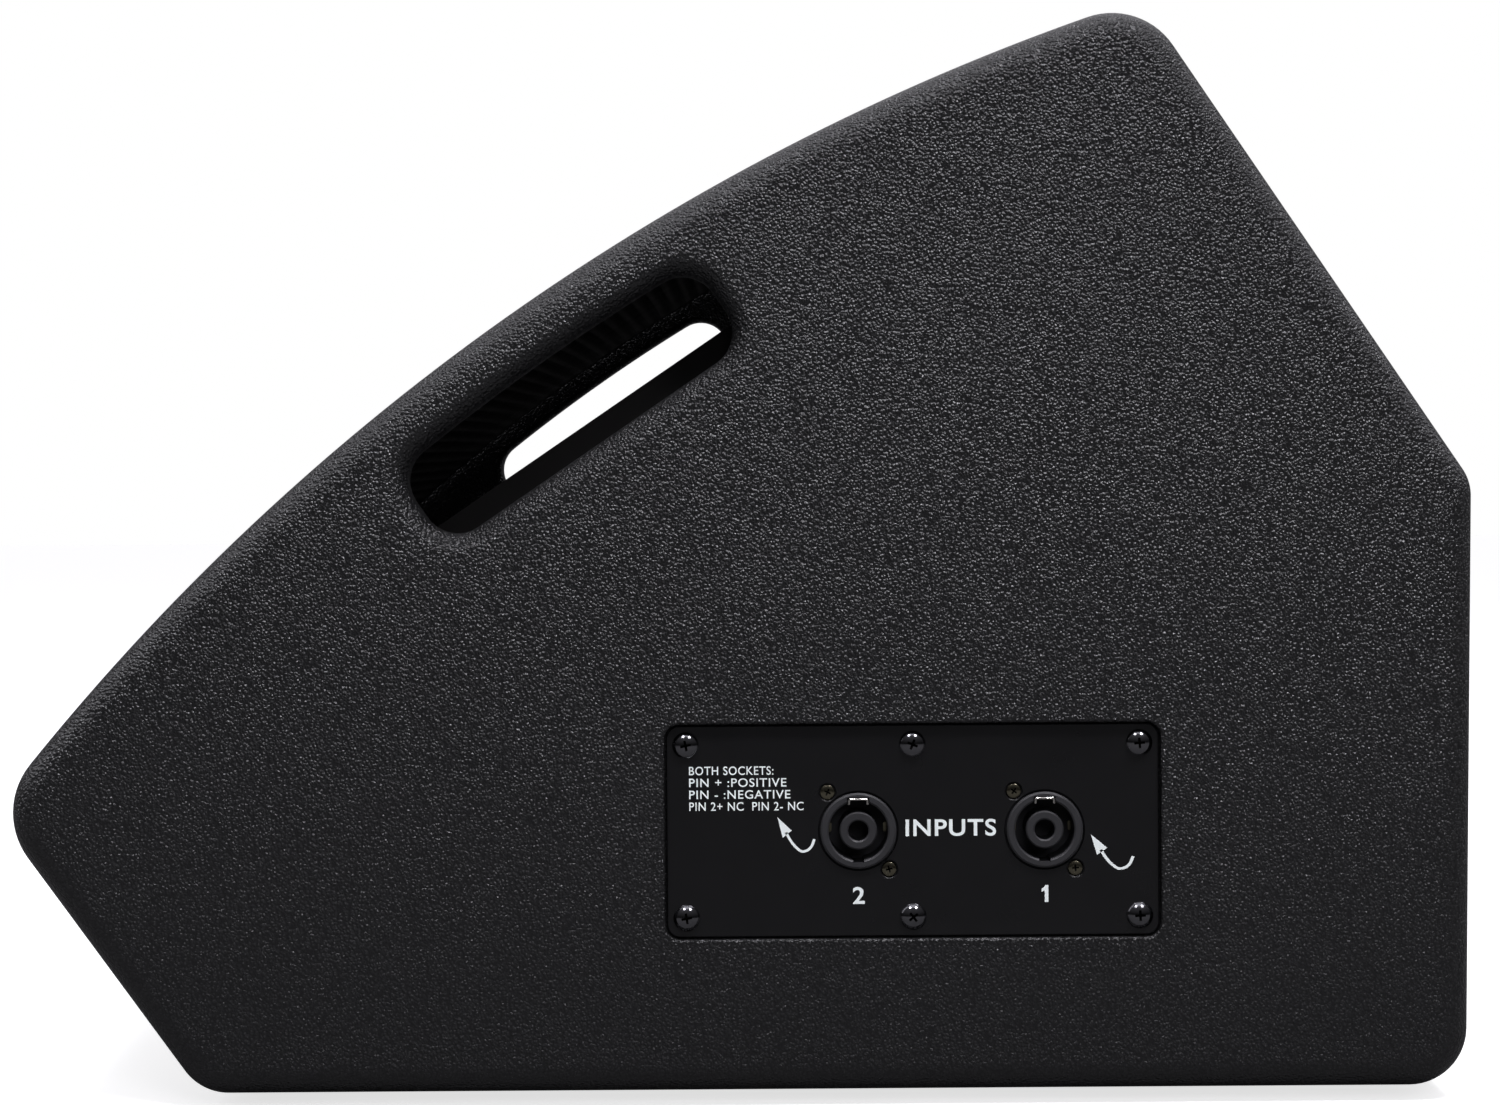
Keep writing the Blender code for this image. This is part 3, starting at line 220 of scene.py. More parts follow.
def arc_points(centre, radius, start, end, count):
    """Points on an anticlockwise arc from the direction of start to that of end."""
    first = atan2(start.y - centre.y, start.x - centre.x)
    last = atan2(end.y - centre.y, end.x - centre.x)
    while last < first:
        last += 2 * pi
    angles = [first + (last - first) * i / count for i in range(count + 1)]
    return [centre + toward(a) * radius for a in angles]


def curved_outline(lines, radii, radius, inset, corner_steps, arc_steps):
    """Anticlockwise outline of straight faces closed by the front arc, moved inwards."""
    faces = [shifted(line, inset) for line in lines]
    big = radius - inset
    rounds = [max(r - inset, 0.0002) for r in radii]
    points = []
    for first, second, r in zip(faces, faces[1:], rounds):
        centre = lines_meet(shifted(first, r), shifted(second, r))
        points += arc_points(
            centre, r, foot_on_line(centre, first), foot_on_line(centre, second), corner_steps
        )
    top = line_meets_circle(shifted(faces[-1], rounds[-2]), ARC_CENTRE, big - rounds[-2])
    nose = line_meets_circle(shifted(faces[0], rounds[-1]), ARC_CENTRE, big - rounds[-1], False)
    arc_start = ARC_CENTRE + (top - ARC_CENTRE).normalized() * big
    arc_end = ARC_CENTRE + (nose - ARC_CENTRE).normalized() * big
    points += arc_points(top, rounds[-2], foot_on_line(top, faces[-1]), arc_start, corner_steps)
    points += arc_points(ARC_CENTRE, big, arc_start, arc_end, arc_steps)[1:-1]
    points += arc_points(nose, rounds[-1], arc_end, foot_on_line(nose, faces[0]), corner_steps)
    return points


def cabinet_outline(inset=0.0):
    """The cabinet's side view, finely stepped."""
    lines = [KICK_LINE, FLOOR_LINE, REAR_LINE, REAR_SLOPE]
    return curved_outline(lines, CORNER_RADII, ARC_R, inset, 14, 60)


def on_baffle(along, out=0.0):
    """A point of the side view from its places along and out of the baffle's face."""
    return BAFFLE_POINT + ALONG * along + OUT * out


def slot_outline(grow=0.0):
    """The handle slot's outline."""
    left = (on_baffle(SLOT_CENTRE - SLOT_LENGTH / 2), -OUT)
    low = (on_baffle(0.0, SLOT_LOW), ALONG)
    right = (on_baffle(SLOT_CENTRE + SLOT_LENGTH / 2), OUT)
    return curved_outline(
        [left, low, right], [SLOT_CORNER_R] * 4, ARC_R - SLOT_INSET, -grow, 10, 24
    )


def rounded_rectangle(size_x, size_y, radius, steps=8):
    """Anticlockwise rounded rectangle about the origin."""
    points = []
    corners = ((1, 1), (-1, 1), (-1, -1), (1, -1))
    for index, (sx, sy) in enumerate(corners):
        centre = Vector((sx * (size_x / 2 - radius), sy * (size_y / 2 - radius)))
        for i in range(steps + 1):
            angle = pi / 2 * (index + i / steps)
            points.append(centre + toward(angle) * radius)
    return points


def circle(centre, radius, count):
    """Points round a circle."""
    turn = [2 * pi * i / count for i in range(count)]
    return [centre + toward(a) * radius for a in turn]


def quarter(count):
    """Angles over a quarter turn."""
    return [pi / 2 * i / count for i in range(count + 1)]


def rounding(radius, count):
    """A rounded edge's steps, as (how far sideways, how far below the crest)."""
    return [(radius * (1 - cos(a)), radius * (1 - sin(a))) for a in quarter(count)]


def smooth_path(points, steps):
    """A Catmull-Rom curve through flat points."""
    points = [Vector(p) for p in points]
    padded = [points[0] * 2 - points[1], *points, points[-1] * 2 - points[-2]]
    made = []
    for a, b, c, d in zip(padded, padded[1:], padded[2:], padded[3:]):
        for i in range(steps):
            t = i / steps
            made.append(0.5 * (2 * b + (c - a) * t + (2 * a - 5 * b + 4 * c - d) * t * t
                               + (3 * b - a - 3 * c + d) * t ** 3))
    return made + [points[-1]]


def thickened(line, depth):
    """A closed profile with a line as its top and the same line as its underside."""
    return list(line) + [(r, z - depth) for r, z in reversed(line)]


# ---- materials

def add_node(tree, kind, links=None, **settings):
    """A shader node with its settings and its input links or values."""
    made = tree.nodes.new(kind)
    for key, value in settings.items():
        setattr(made, key, value)
    for key, value in (links or {}).items():
        if isinstance(value, bpy.types.NodeSocket):
            tree.links.new(value, made.inputs[key])
        else:
            made.inputs[key].default_value = value
    return made


class Look:
    """A node material in the making, with the frame's coordinates as its texture space."""

    def __init__(self, name, colour, roughness, metallic=0.0):
        self.material = bpy.data.materials.new(name)
        self.material.use_nodes = True
        self.tree = self.material.node_tree
        self.shader = self.tree.nodes["Principled BSDF"]
        self.put("Base Color", (*colour, 1.0))
        self.put("Roughness", roughness)
        self.put("Metallic", metallic)
        self.place = self.node("ShaderNodeTexCoord").outputs["Object"]
        self.normal = None

    def put(self, socket, value):
        """Set one of the shader's own values."""
        self.shader.inputs[socket].default_value = value

    def link(self, output, socket):
        """Drive one of the shader's inputs."""
        self.tree.links.new(output, self.shader.inputs[socket])

    def node(self, kind, links=None, **settings):
        """A node of this material."""
        return add_node(self.tree, kind, links, **settings)

    def noise(self, scale, detail=2.0, rough=0.5, distortion=0.0, vector=None):
        """A noise value."""
        return self.node("ShaderNodeTexNoise", {
            "Vector": vector or self.place, "Scale": scale, "Detail": detail,
            "Roughness": rough, "Distortion": distortion,
        }).outputs["Fac"]

    def bands(self, scale, distortion, axis):
        """Even waves along an axis."""
        return self.node("ShaderNodeTexWave", {
            "Vector": self.place, "Scale": scale, "Distortion": distortion,
        }, bands_direction=axis).outputs["Fac"]

    def stretched(self, scale):
        """The texture space with a scale of its own along each axis."""
        return self.node("ShaderNodeMapping", {
            "Vector": self.place, "Scale": scale,
        }).outputs["Vector"]

    def ramp(self, value, low, high, to_low=0.0, to_high=1.0):
        """A value mapped from one range to another, clamped."""
        return self.node("ShaderNodeMapRange", {
            "Value": value, "From Min": low, "From Max": high,
            "To Min": to_low, "To Max": to_high,
        }).outputs["Result"]

    def maths(self, operation, first, second):
        """One arithmetic step."""
        return self.node("ShaderNodeMath", {0: first, 1: second}, operation=operation).outputs[0]

    def colour(self, factor, dark, light):
        """Base colour between two others."""
        made = self.node("ShaderNodeMix", {"Factor": factor}, data_type="RGBA")
        ends = {"A": dark, "B": light}
        for socket in made.inputs:
            if socket.type == "RGBA":
                socket.default_value = (*ends[socket.name], 1.0)
        self.link(next(s for s in made.outputs if s.type == "RGBA"), "Base Color")

    def bump(self, height, distance, strength=1.0):
        """Relief; a second call adds to the first."""
        links = {"Height": height, "Distance": distance, "Strength": strength}
        if self.normal is not None:
            links["Normal"] = self.normal
        self.normal = self.node("ShaderNodeBump", links).outputs["Normal"]
        self.link(self.normal, "Normal")


def scaled(colour, factor):
    """A colour made darker or lighter."""
    return tuple(min(c * factor, 1.0) for c in colour)


def coating():
    """Thick black spray coating of packed pebbles, with less relief towards the floor and pebble
    tops painted lighter.
    """
    look = Look("textured_coating", (0.010, 0.010, 0.0104), 0.30)
    warp = look.node("ShaderNodeTexNoise", {
        "Vector": look.place, "Scale": 800.0, "Detail": 1.0,
    }).outputs["Color"]
    warped = look.node("ShaderNodeVectorMath", {
        0: warp, 1: (0.0005, 0.0005, 0.0005), 2: look.place,
    }, operation="MULTIPLY_ADD").outputs["Vector"]
    nearest = look.node("ShaderNodeTexVoronoi", {
        "Vector": warped, "Scale": PEBBLES, "Randomness": 1.0,
    }, feature="F1").outputs["Distance"]
    pebbles = look.ramp(nearest, 0.0, 0.75, 1.0, 0.0)
    grit = look.noise(1700.0, 2.0, 0.55)
    height = look.maths("ADD", pebbles, look.maths("MULTIPLY", grit, 0.4))
    up = look.node("ShaderNodeSeparateXYZ", {"Vector": look.place}).outputs["Z"]
    look.bump(height, COATING_RELIEF, look.ramp(up, 0.03, 0.26, 0.74, 1.05))
    # Painted highlight: the base colour is lighter on the pebble tops, standing in for glints on
    # top of the lamps' own.
    painted_glints = look.ramp(height, 0.2, 1.3)
    look.colour(painted_glints, (0.0060, 0.0060, 0.0064), (0.0195, 0.0195, 0.0201))
    patches = look.noise(14.0, 3.0, 0.55)
    look.link(look.ramp(patches, 0.3, 0.7, 0.28, 0.33), "Roughness")
    return look.material


def smooth_black(name, colour, roughness, grain, depth, gloss):
    """Even black paint or moulded plastic with fine grain and handling marks."""
    look = Look(name, colour, roughness)
    look.put("Specular IOR Level", gloss)
    look.bump(look.noise(grain, 2.0, 0.6), depth, 0.6)
    smear = look.noise(45.0, 4.0, 0.6)
    look.link(look.ramp(smear, 0.3, 0.75, roughness * 0.85, roughness * 1.2), "Roughness")
    look.colour(look.noise(130.0, 3.0), scaled(colour, 0.8), scaled(colour, 1.25))
    return look.material


def metal(name, colour, roughness, streak):
    """Bare or plated metal with faint directional streaks."""
    look = Look(name, colour, roughness, 1.0)
    lines = look.noise(1.0, 3.0, 0.6, vector=look.stretched(streak))
    look.link(look.ramp(lines, 0.3, 0.7, roughness * 0.75, roughness * 1.3), "Roughness")
    look.bump(lines, 0.00001, 0.5)
    look.colour(look.noise(160.0, 3.0), scaled(colour, 0.75), colour)
    return look.material


def speckled(name, colour, roughness, scale, spread):
    """A quiet solid colour with mottling, for inner pieces."""
    look = Look(name, colour, roughness)
    mottle = look.noise(scale, 4.0, 0.6)
    look.colour(mottle, scaled(colour, 1 - spread), scaled(colour, 1 + spread))
    look.bump(mottle, 0.00005, 0.5)
    return look.material


def rubber():
    """Moulded rubber."""
    look = Look("foot_rubber", (0.022, 0.022, 0.022), 0.75)
    look.bump(look.noise(1900.0, 3.0, 0.7), 0.00005, 0.8)
    dust = look.ramp(look.noise(60.0, 4.0, 0.65), 0.45, 0.8)
    look.colour(dust, (0.018, 0.018, 0.018), (0.045, 0.043, 0.040))
    return look.material


def paper():
    """Pressed paper pulp of the cone."""
    look = Look("cone_paper", (0.020, 0.020, 0.021), 0.80)
    fibre = look.noise(900.0, 5.0, 0.75, 0.8)
    look.bump(fibre, 0.00012, 0.9)
    look.colour(fibre, (0.012, 0.012, 0.013), (0.034, 0.034, 0.035))
    return look.material


def cloth():
    """Doped woven cloth of the surround and spider."""
    look = Look("doped_cloth", (0.018, 0.016, 0.014), 0.55)
    threads = look.maths("MAXIMUM", look.bands(450.0, 0.6, "X"), look.bands(450.0, 0.6, "Y"))
    look.bump(threads, 0.00010, 0.8)
    look.colour(threads, (0.010, 0.009, 0.008), (0.030, 0.027, 0.022))
    return look.material


def plywood():
    """Bare birch plywood with its plies."""
    look = Look("birch_plywood", (0.50, 0.34, 0.19), 0.65)
    streaks = look.noise(1.0, 5.0, 0.65, 0.4, vector=look.stretched((40.0, 12.0, 300.0)))
    look.colour(streaks, (0.38, 0.24, 0.12), (0.60, 0.43, 0.26))
    look.bump(streaks, 0.00012, 0.5)
    return look.material


def winding():
    """Enamelled wire laid turn by turn."""
    look = Look("copper_winding", (0.55, 0.22, 0.09), 0.32, 0.9)
    turns = look.bands(320.0, 0.4, "Y")
    look.bump(turns, 0.0003, 0.9)
    look.colour(turns, (0.25, 0.08, 0.03), (0.62, 0.27, 0.12))
    return look.material


def print_ink():
    """White screen print, thin enough to mottle."""
    look = Look("white_print", (0.88, 0.89, 0.90), 0.55)
    look.colour(look.noise(2500.0, 3.0, 0.6), (0.84, 0.90, 0.88), (0.93, 0.99, 0.97))
    return look.material


EVEN_STREAKS = (200.0, 200.0, 200.0)
LONG_STREAKS = (900.0, 30.0, 30.0)
BLACKS = {  # material's name, colour, roughness, grain to the metre, relief and gloss
    "grille_steel": ("grille_powder_coat", (0.0055, 0.0055, 0.0058), 0.50, 3000.0, 0.00003, 0.20),
    "baffle_paint": ("baffle_paint", (0.0030, 0.0028, 0.0027), 0.70, 900.0, 0.00005, 0.12),
    # painted shade: near-black laid on cross recesses and on the grille's underside and hole
    # walls, where shade falls
    "shadow_black": ("flat_black", (0.0022, 0.0021, 0.0020), 0.85, 900.0, 0.00003, 0.05),
    "plate_black": ("plate_paint", (0.0042, 0.0042, 0.0046), 0.30, 3200.0, 0.000008, 0.40),
    "socket_plastic": ("socket_nylon", (0.026, 0.026, 0.028), 0.50, 2600.0, 0.00002, 0.40),
    "horn_plastic": ("horn_plastic", (0.016, 0.016, 0.018), 0.40, 1500.0, 0.00004, 0.50),
    "frame_metal": ("frame_enamel", (0.020, 0.020, 0.021), 0.38, 1200.0, 0.00004, 0.50),
}
METALS = {  # material's name, colour, roughness and streaks
    "screw_black": ("black_oxide_screw", (0.17, 0.17, 0.18), 0.11, EVEN_STREAKS),
    "screw_dull": ("bronzed_screw", (0.19, 0.175, 0.125), 0.20, LONG_STREAKS),
    "latch": ("latch_steel", (0.62, 0.60, 0.56), 0.25, LONG_STREAKS),
    "zinc": ("zinc_plate", (0.60, 0.60, 0.62), 0.35, LONG_STREAKS),
    "diaphragm": ("dome_foil", (0.70, 0.71, 0.74), 0.28, EVEN_STREAKS),
}
SPECKLED = {  # material's name, colour, roughness, mottling to the metre and its spread
    "magnet": ("ferrite", (0.045, 0.045, 0.048), 0.65, 900.0, 0.35),
    "board": ("circuit_board", (0.03, 0.11, 0.05), 0.45, 300.0, 0.35),
    "capacitor": ("capacitor_sleeve", (0.05, 0.07, 0.22), 0.38, 250.0, 0.35),
    "ceramic": ("cast_ceramic", (0.68, 0.65, 0.58), 0.70, 700.0, 0.12),
    "coil_former": ("coil_former", (0.42, 0.25, 0.10), 0.45, 800.0, 0.35),
    "wire": ("wire_insulation", (0.30, 0.02, 0.02), 0.42, 200.0, 0.35),
}
LOOKS = {
    "coating": coating(),
    "rubber": rubber(),
    "plywood": plywood(),
    "cone_paper": paper(),
    "cloth": cloth(),
    "print": print_ink(),
    "copper": winding(),
}
for make, table in ((smooth_black, BLACKS), (metal, METALS), (speckled, SPECKLED)):
    LOOKS.update({key: make(*settings) for key, settings in table.items()})


# ---- mesh making

def add_object(name, data):
    """An object in the scene."""
    made = bpy.data.objects.new(name, data)
    bpy.context.scene.collection.objects.link(made)
    return made


def to_mesh(name, maker):
    """The mesh of a bmesh, which is used up."""
    mesh = bpy.data.meshes.new(name)
    maker.to_mesh(mesh)
    maker.free()
    return mesh


def piece(name, maker, look, body="cabinet", replaces=(), slot=None, angle=32.0,
          weighted=False, shade_look=None):
    """A finished piece that rides on a body; faces marked 1 take the second look, which is
    painted shade.
    """
    bmesh.ops.remove_doubles(maker, verts=maker.verts, dist=MERGE)
    bmesh.ops.recalc_face_normals(maker, faces=maker.faces)
    mesh = to_mesh(name, maker)
    mesh.shade_smooth()
    mesh.set_sharp_from_angle(angle=radians(angle))
    for key in (look, shade_look):
        if key:
            mesh.materials.append(LOOKS[key])
    made = add_object(name, mesh)
    if weighted:
        modifier = made.modifiers.new("normals", "WEIGHTED_NORMAL")
        modifier.keep_sharp = True
        modifier.weight = 100
    if body:
        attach(made, body)
    if replaces:
        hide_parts(*replaces)
    return made


def turned_piece(name, profile, place, look, steps, round_off=0.0, **settings):
    """A piece turned from a profile, with its corners rounded off."""
    if round_off:
        profile = soften(profile, round_off)
    return piece(name, moved(turned(profile, steps), place), look, **settings)


def ring(maker, points):
    """Vertices of one ring."""
    return [maker.verts.new(p) for p in points]


def bridge(maker, *loops):
    """Quads from each ring to the next, all of the same count."""
    for first, second in zip(loops, loops[1:]):
        for i in range(len(first)):
            maker.faces.new((first[i - 1], first[i], second[i], second[i - 1]))


def fill(maker, rings, normal):
    """Triangles over a flat region bounded by rings, the later ones being holes."""
    edges = []
    for loop in rings:
        for pair in zip([loop[-1], *loop], loop):
            edges.append(maker.edges.get(pair) or maker.edges.new(pair))
    bmesh.ops.triangle_fill(maker, edges=edges, use_beauty=True, normal=normal)


def loft(rings, closed=False):
    """A skin over rings, capped unless the last ring joins the first."""
    maker = bmesh.new()
    loops = [ring(maker, points) for points in rings]
    bridge(maker, *loops)
    if closed:
        bridge(maker, loops[-1], loops[0])
    else:
        maker.faces.new(loops[0])
        maker.faces.new(loops[-1])
    return maker


def at_x(points, x):
    """Side-view points placed at one X."""
    return [Vector((x, p.x, p.y)) for p in points]


def at_z(points, z):
    """Flat points placed at one Z."""
    return [Vector((p.x, p.y, z)) for p in points]


def turned(profile, steps):
    """A profile of (radius, z) points turned about Z; closed if it stays off the axis."""
    maker = bmesh.new()
    verts = [maker.verts.new((r, 0.0, z)) for r, z in profile]
    edges = [maker.edges.new(pair) for pair in zip(verts, verts[1:])]
    if profile[0][0] > 0 or profile[-1][0] > 0:
        edges.append(maker.edges.new((verts[-1], verts[0])))
    bmesh.ops.spin(
        maker, geom=verts + edges, cent=(0, 0, 0), axis=(0, 0, 1),
        angle=2 * pi, steps=steps, use_merge=True,
    )
    bmesh.ops.remove_doubles(maker, verts=maker.verts, dist=MERGE)
    return maker


def soften(profile, radius, steps=3):
    """A closed profile with each corner off the axis cut by a small round."""
    made = []
    for i, (r, z) in enumerate(profile):
        if r < MERGE:
            made.append((r, z))
            continue
        here = Vector((r, z))
        before = Vector(profile[i - 1])
        after = Vector(profile[(i + 1) % len(profile)])
        reach = min(radius, (before - here).length * 0.45, (after - here).length * 0.45)
        start = here + (before - here).normalized() * reach
        end = here + (after - here).normalized() * reach
        made += [tuple(p) for p in corner_curve(start, here, end, steps)]
    return made


def corner_curve(start, corner, end, steps):
    """Points from start to end on a curve drawn towards a corner."""
    shares = [i / steps for i in range(steps + 1)]
    return [start.lerp(corner, t).lerp(corner.lerp(end, t), t) for t in shares]


def spun(angle):
    """A turn about Z."""
    return Matrix.Rotation(angle, 4, "Z")


def moved(maker, matrix):
    """A bmesh put in its place."""
    bmesh.ops.transform(maker, verts=maker.verts, matrix=matrix)
    return maker


def joined(makers):
    """Several bmeshes as one."""
    whole = bmesh.new()
    for maker in makers:
        mesh = to_mesh("part", maker)
        whole.from_mesh(mesh)
        bpy.data.meshes.remove(mesh)
    return whole


def cut(base, *cutters):
    """Exact boolean difference on bmeshes."""
    made = []
    for maker in (base, *cutters):
        bmesh.ops.recalc_face_normals(maker, faces=maker.faces)
        made.append(add_object("cut", to_mesh("cut", maker)))
    for tool in made[1:]:
        modifier = made[0].modifiers.new("cut", "BOOLEAN")
        modifier.operation = "DIFFERENCE"
        modifier.solver = "EXACT"
        modifier.object = tool
    result = evaluated(made[0])
    for obj in made:
        mesh = obj.data
        bpy.data.objects.remove(obj)
        bpy.data.meshes.remove(mesh)
    return result


def evaluated(obj):
    """What an object makes of its modifiers, curve or text, as a bmesh."""
    bpy.context.view_layer.update()
    graph = bpy.context.evaluated_depsgraph_get()
    mesh = bpy.data.meshes.new_from_object(obj.evaluated_get(graph))
    maker = bmesh.new()
    maker.from_mesh(mesh)
    bpy.data.meshes.remove(mesh)
    return maker


def curve_to_maker(curve):
    """The solid that a curve or text makes, as a bmesh."""
    holder = add_object("curve", curve)
    maker = evaluated(holder)
    bpy.data.objects.remove(holder)
    bpy.data.curves.remove(curve)
    return maker


def bent_wire(points, radius):
    """A round wire along a run of points."""
    curve = bpy.data.curves.new("wire", "CURVE")
    curve.dimensions = "3D"
    curve.bevel_depth = radius
    curve.bevel_resolution = 3
    curve.use_fill_caps = True
    spline = curve.splines.new("POLY")
    spline.points.add(len(points) - 1)
    for point, spot in zip(spline.points, points):
        point.co = (*spot, 1.0)
    return curve_to_maker(curve)


def box_maker(low, high):
    """A box between two corners."""
    maker = bmesh.new()
    bmesh.ops.create_cube(maker, size=1.0)
    size = Vector(high) - Vector(low)
    centre = (Vector(high) + Vector(low)) / 2
    return moved(maker, Matrix.Translation(centre) @ Matrix.Diagonal((*size, 1.0)))


def baffle_frame(x, along):
    """Axes on the baffle's face: X across, Y up the baffle, Z out of it."""
    at = on_baffle(along)
    return Matrix.Translation((x, at.x, at.y)) @ Matrix.Rotation(SLOPE, 4, "X")


def middle(node):
    """The middle of a CAD node."""
    low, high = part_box(node)
    return (low + high) / 2


def on_plate(node):
    """Where a CAD node's middle lies on the plate, in the plate's X and Y."""
    at = middle(node) - PLATE_MID
    return Vector((at.y, at.z))


def plate_frame(at=(0.0, 0.0)):
    """Axes on the input plate's face: X towards the rear, Y up, Z out of the side panel."""
    axes = Matrix(((0, 0, 1, 0), (1, 0, 0, 0), (0, 1, 0, 0), (0, 0, 0, 1)))
    face = Matrix.Translation((PLATE_HIGH.x, PLATE_MID.y, PLATE_MID.z)) @ axes
    return face @ Matrix.Translation((*at, 0.0))


# ---- cabinet

def side_panel(name, node, side, with_plate):
    """A cheek: one skin with rounded rim, handle slot with its lip, and plate recess."""
    maker = bmesh.new()
    rim = [(BACK_EDGE_R, INNER), (0.0, INNER + BACK_EDGE_R)]
    rim += [(inset, HALF - down) for inset, down in rounding(EDGE_R, 9)]
    loops = [ring(maker, at_x(cabinet_outline(inset), x)) for inset, x in rim]
    bridge(maker, *loops)
    lip = [(grow, INNER + down) for grow, down in rounding(SLOT_INNER_LIP_R, 4)[::-1]]
    lip += [(grow, HALF - down) for grow, down in rounding(SLOT_LIP_R, 9)]
    slot = [ring(maker, at_x(slot_outline(grow), x)) for grow, x in lip]
    bridge(maker, *slot)
    outer = [loops[-1], slot[-1]]
    inner = [loops[0], slot[0]]
    if with_plate:
        recess = [ring(maker, points) for points in plate_recess()]
        bridge(maker, *recess)
        outer.append(recess[0])
        inner.append(recess[-1])
    fill(maker, outer, (1, 0, 0))
    fill(maker, inner, (-1, 0, 0))
    if side < 0:
        moved(maker, Matrix.Diagonal((-1, 1, 1, 1)))
    piece(name, maker, "coating", replaces=[node], weighted=True, angle=40.0)


def plate_recess():
    """Rings of the plate's recess and of the wiring hole through its floor, from outside in."""
    length, height = PLATE_SIZE.y + 2 * RECESS_GAP, PLATE_SIZE.z + 2 * RECESS_GAP
    radius = PLATE_R + RECESS_GAP
    bottom = PLATE_LOW.x - CLEARANCE
    steps = [(length + 2 * grow, height + 2 * grow, radius + grow, HALF - down)
             for grow, down in rounding(RECESS_RIM_R, 4)[::-1]]
    steps += [(length, height, radius, bottom), (*WIRING_HOLE, bottom), (*WIRING_HOLE, INNER)]
    middle_of_plate = Vector((PLATE_MID.y, PLATE_MID.z))
    return [at_x([p + middle_of_plate for p in rounded_rectangle(*size)], x)
            for *size, x in steps]


def grille_seat(sign):
    """Side view of the step that carries one end of the grille, from the lip inwards."""
    deep = ARC_R - GRILLE_INSET - GRILLE_T
    lip = sign * LIP_AT
    corner = line_meets_circle((on_baffle(lip), OUT), ARC_CENTRE, ARC_R)
    start = ARC_CENTRE + (corner + ALONG * (sign * LIP_R) - ARC_CENTRE).normalized() * ARC_R
    points = corner_curve(start, corner, corner - OUT * LIP_R, 5)
    for along in (lip, (lip + sign * RAIL_AT) / 2, sign * RAIL_AT):
        points.append(line_meets_circle((on_baffle(along), OUT), ARC_CENTRE, deep))
    return points + [on_baffle(sign * RAIL_AT)]


def wrap():
    """Every board between the cheeks, under one unbroken skin of coating."""
    reach = LIP_AT + LIP_R * 1.01
    outline = cabinet_outline()
    along = [(p - BAFFLE_POINT).dot(ALONG) for p in outline]
    out = [(p - BAFFLE_POINT).dot(OUT) for p in outline]
    every = range(len(outline))
    last = max(i for i in every if along[i] > 0 and (out[i] < 0 or along[i] > reach))
    first = min(i for i in every if i > last and along[i] < -reach)
    skin = outline[first:] + outline[:last + 1]
    faces = [shifted(line, PANEL) for line in (REAR_SLOPE, REAR_LINE, FLOOR_LINE, KICK_LINE)]
    plane = (on_baffle(0.0), ALONG)
    chain = [plane, *faces, plane]
    inner = [lines_meet(one, other) for one, other in zip(chain, chain[1:])]
    side = skin + grille_seat(1) + inner + grille_seat(-1)[::-1]
    maker = loft([at_x(side, x) for x in (-INNER, INNER)])
    piece("coated_wrap", maker, "coating", weighted=True,
          replaces=["front_kick_panel", "bottom_panel", "back_panel", "rear_top_panel",
                    "front_rail", "top_rail"])


def grille():
    """Curved steel sheet with staggered round holes, as real geometry."""
    outer_r = ARC_R - GRILLE_INSET
    ends = [line_meets_circle((on_baffle(s * GRILLE_HALF), OUT), ARC_CENTRE, outer_r)
            for s in (-1, 1)]
    nose, top = [atan2(p.y - ARC_CENTRE.y, p.x - ARC_CENTRE.x) for p in ends]
    sheet = flat_grille(INNER - GRILLE_GAP, (nose - top) * outer_r)
    for v in sheet.verts:
        angle = (nose + top) / 2 - v.co.y / outer_r
        radius = outer_r - GRILLE_T + v.co.z
        point = ARC_CENTRE + toward(angle) * radius
        v.co = (v.co.x, point.x, point.y)
    # The underside and the hole walls are marked for painted shade, darker than the sheet's face.
    for face in sheet.faces:
        centre = face.calc_center_median()
        depth = outer_r - hypot(centre.y - ARC_CENTRE.x, centre.z - ARC_CENTRE.y)
        face.material_index = int(depth > 0.3 * GRILLE_T)
    piece("perforated_grille", sheet, "grille_steel", replaces=["grille"], angle=40.0,
          shade_look="shadow_black")


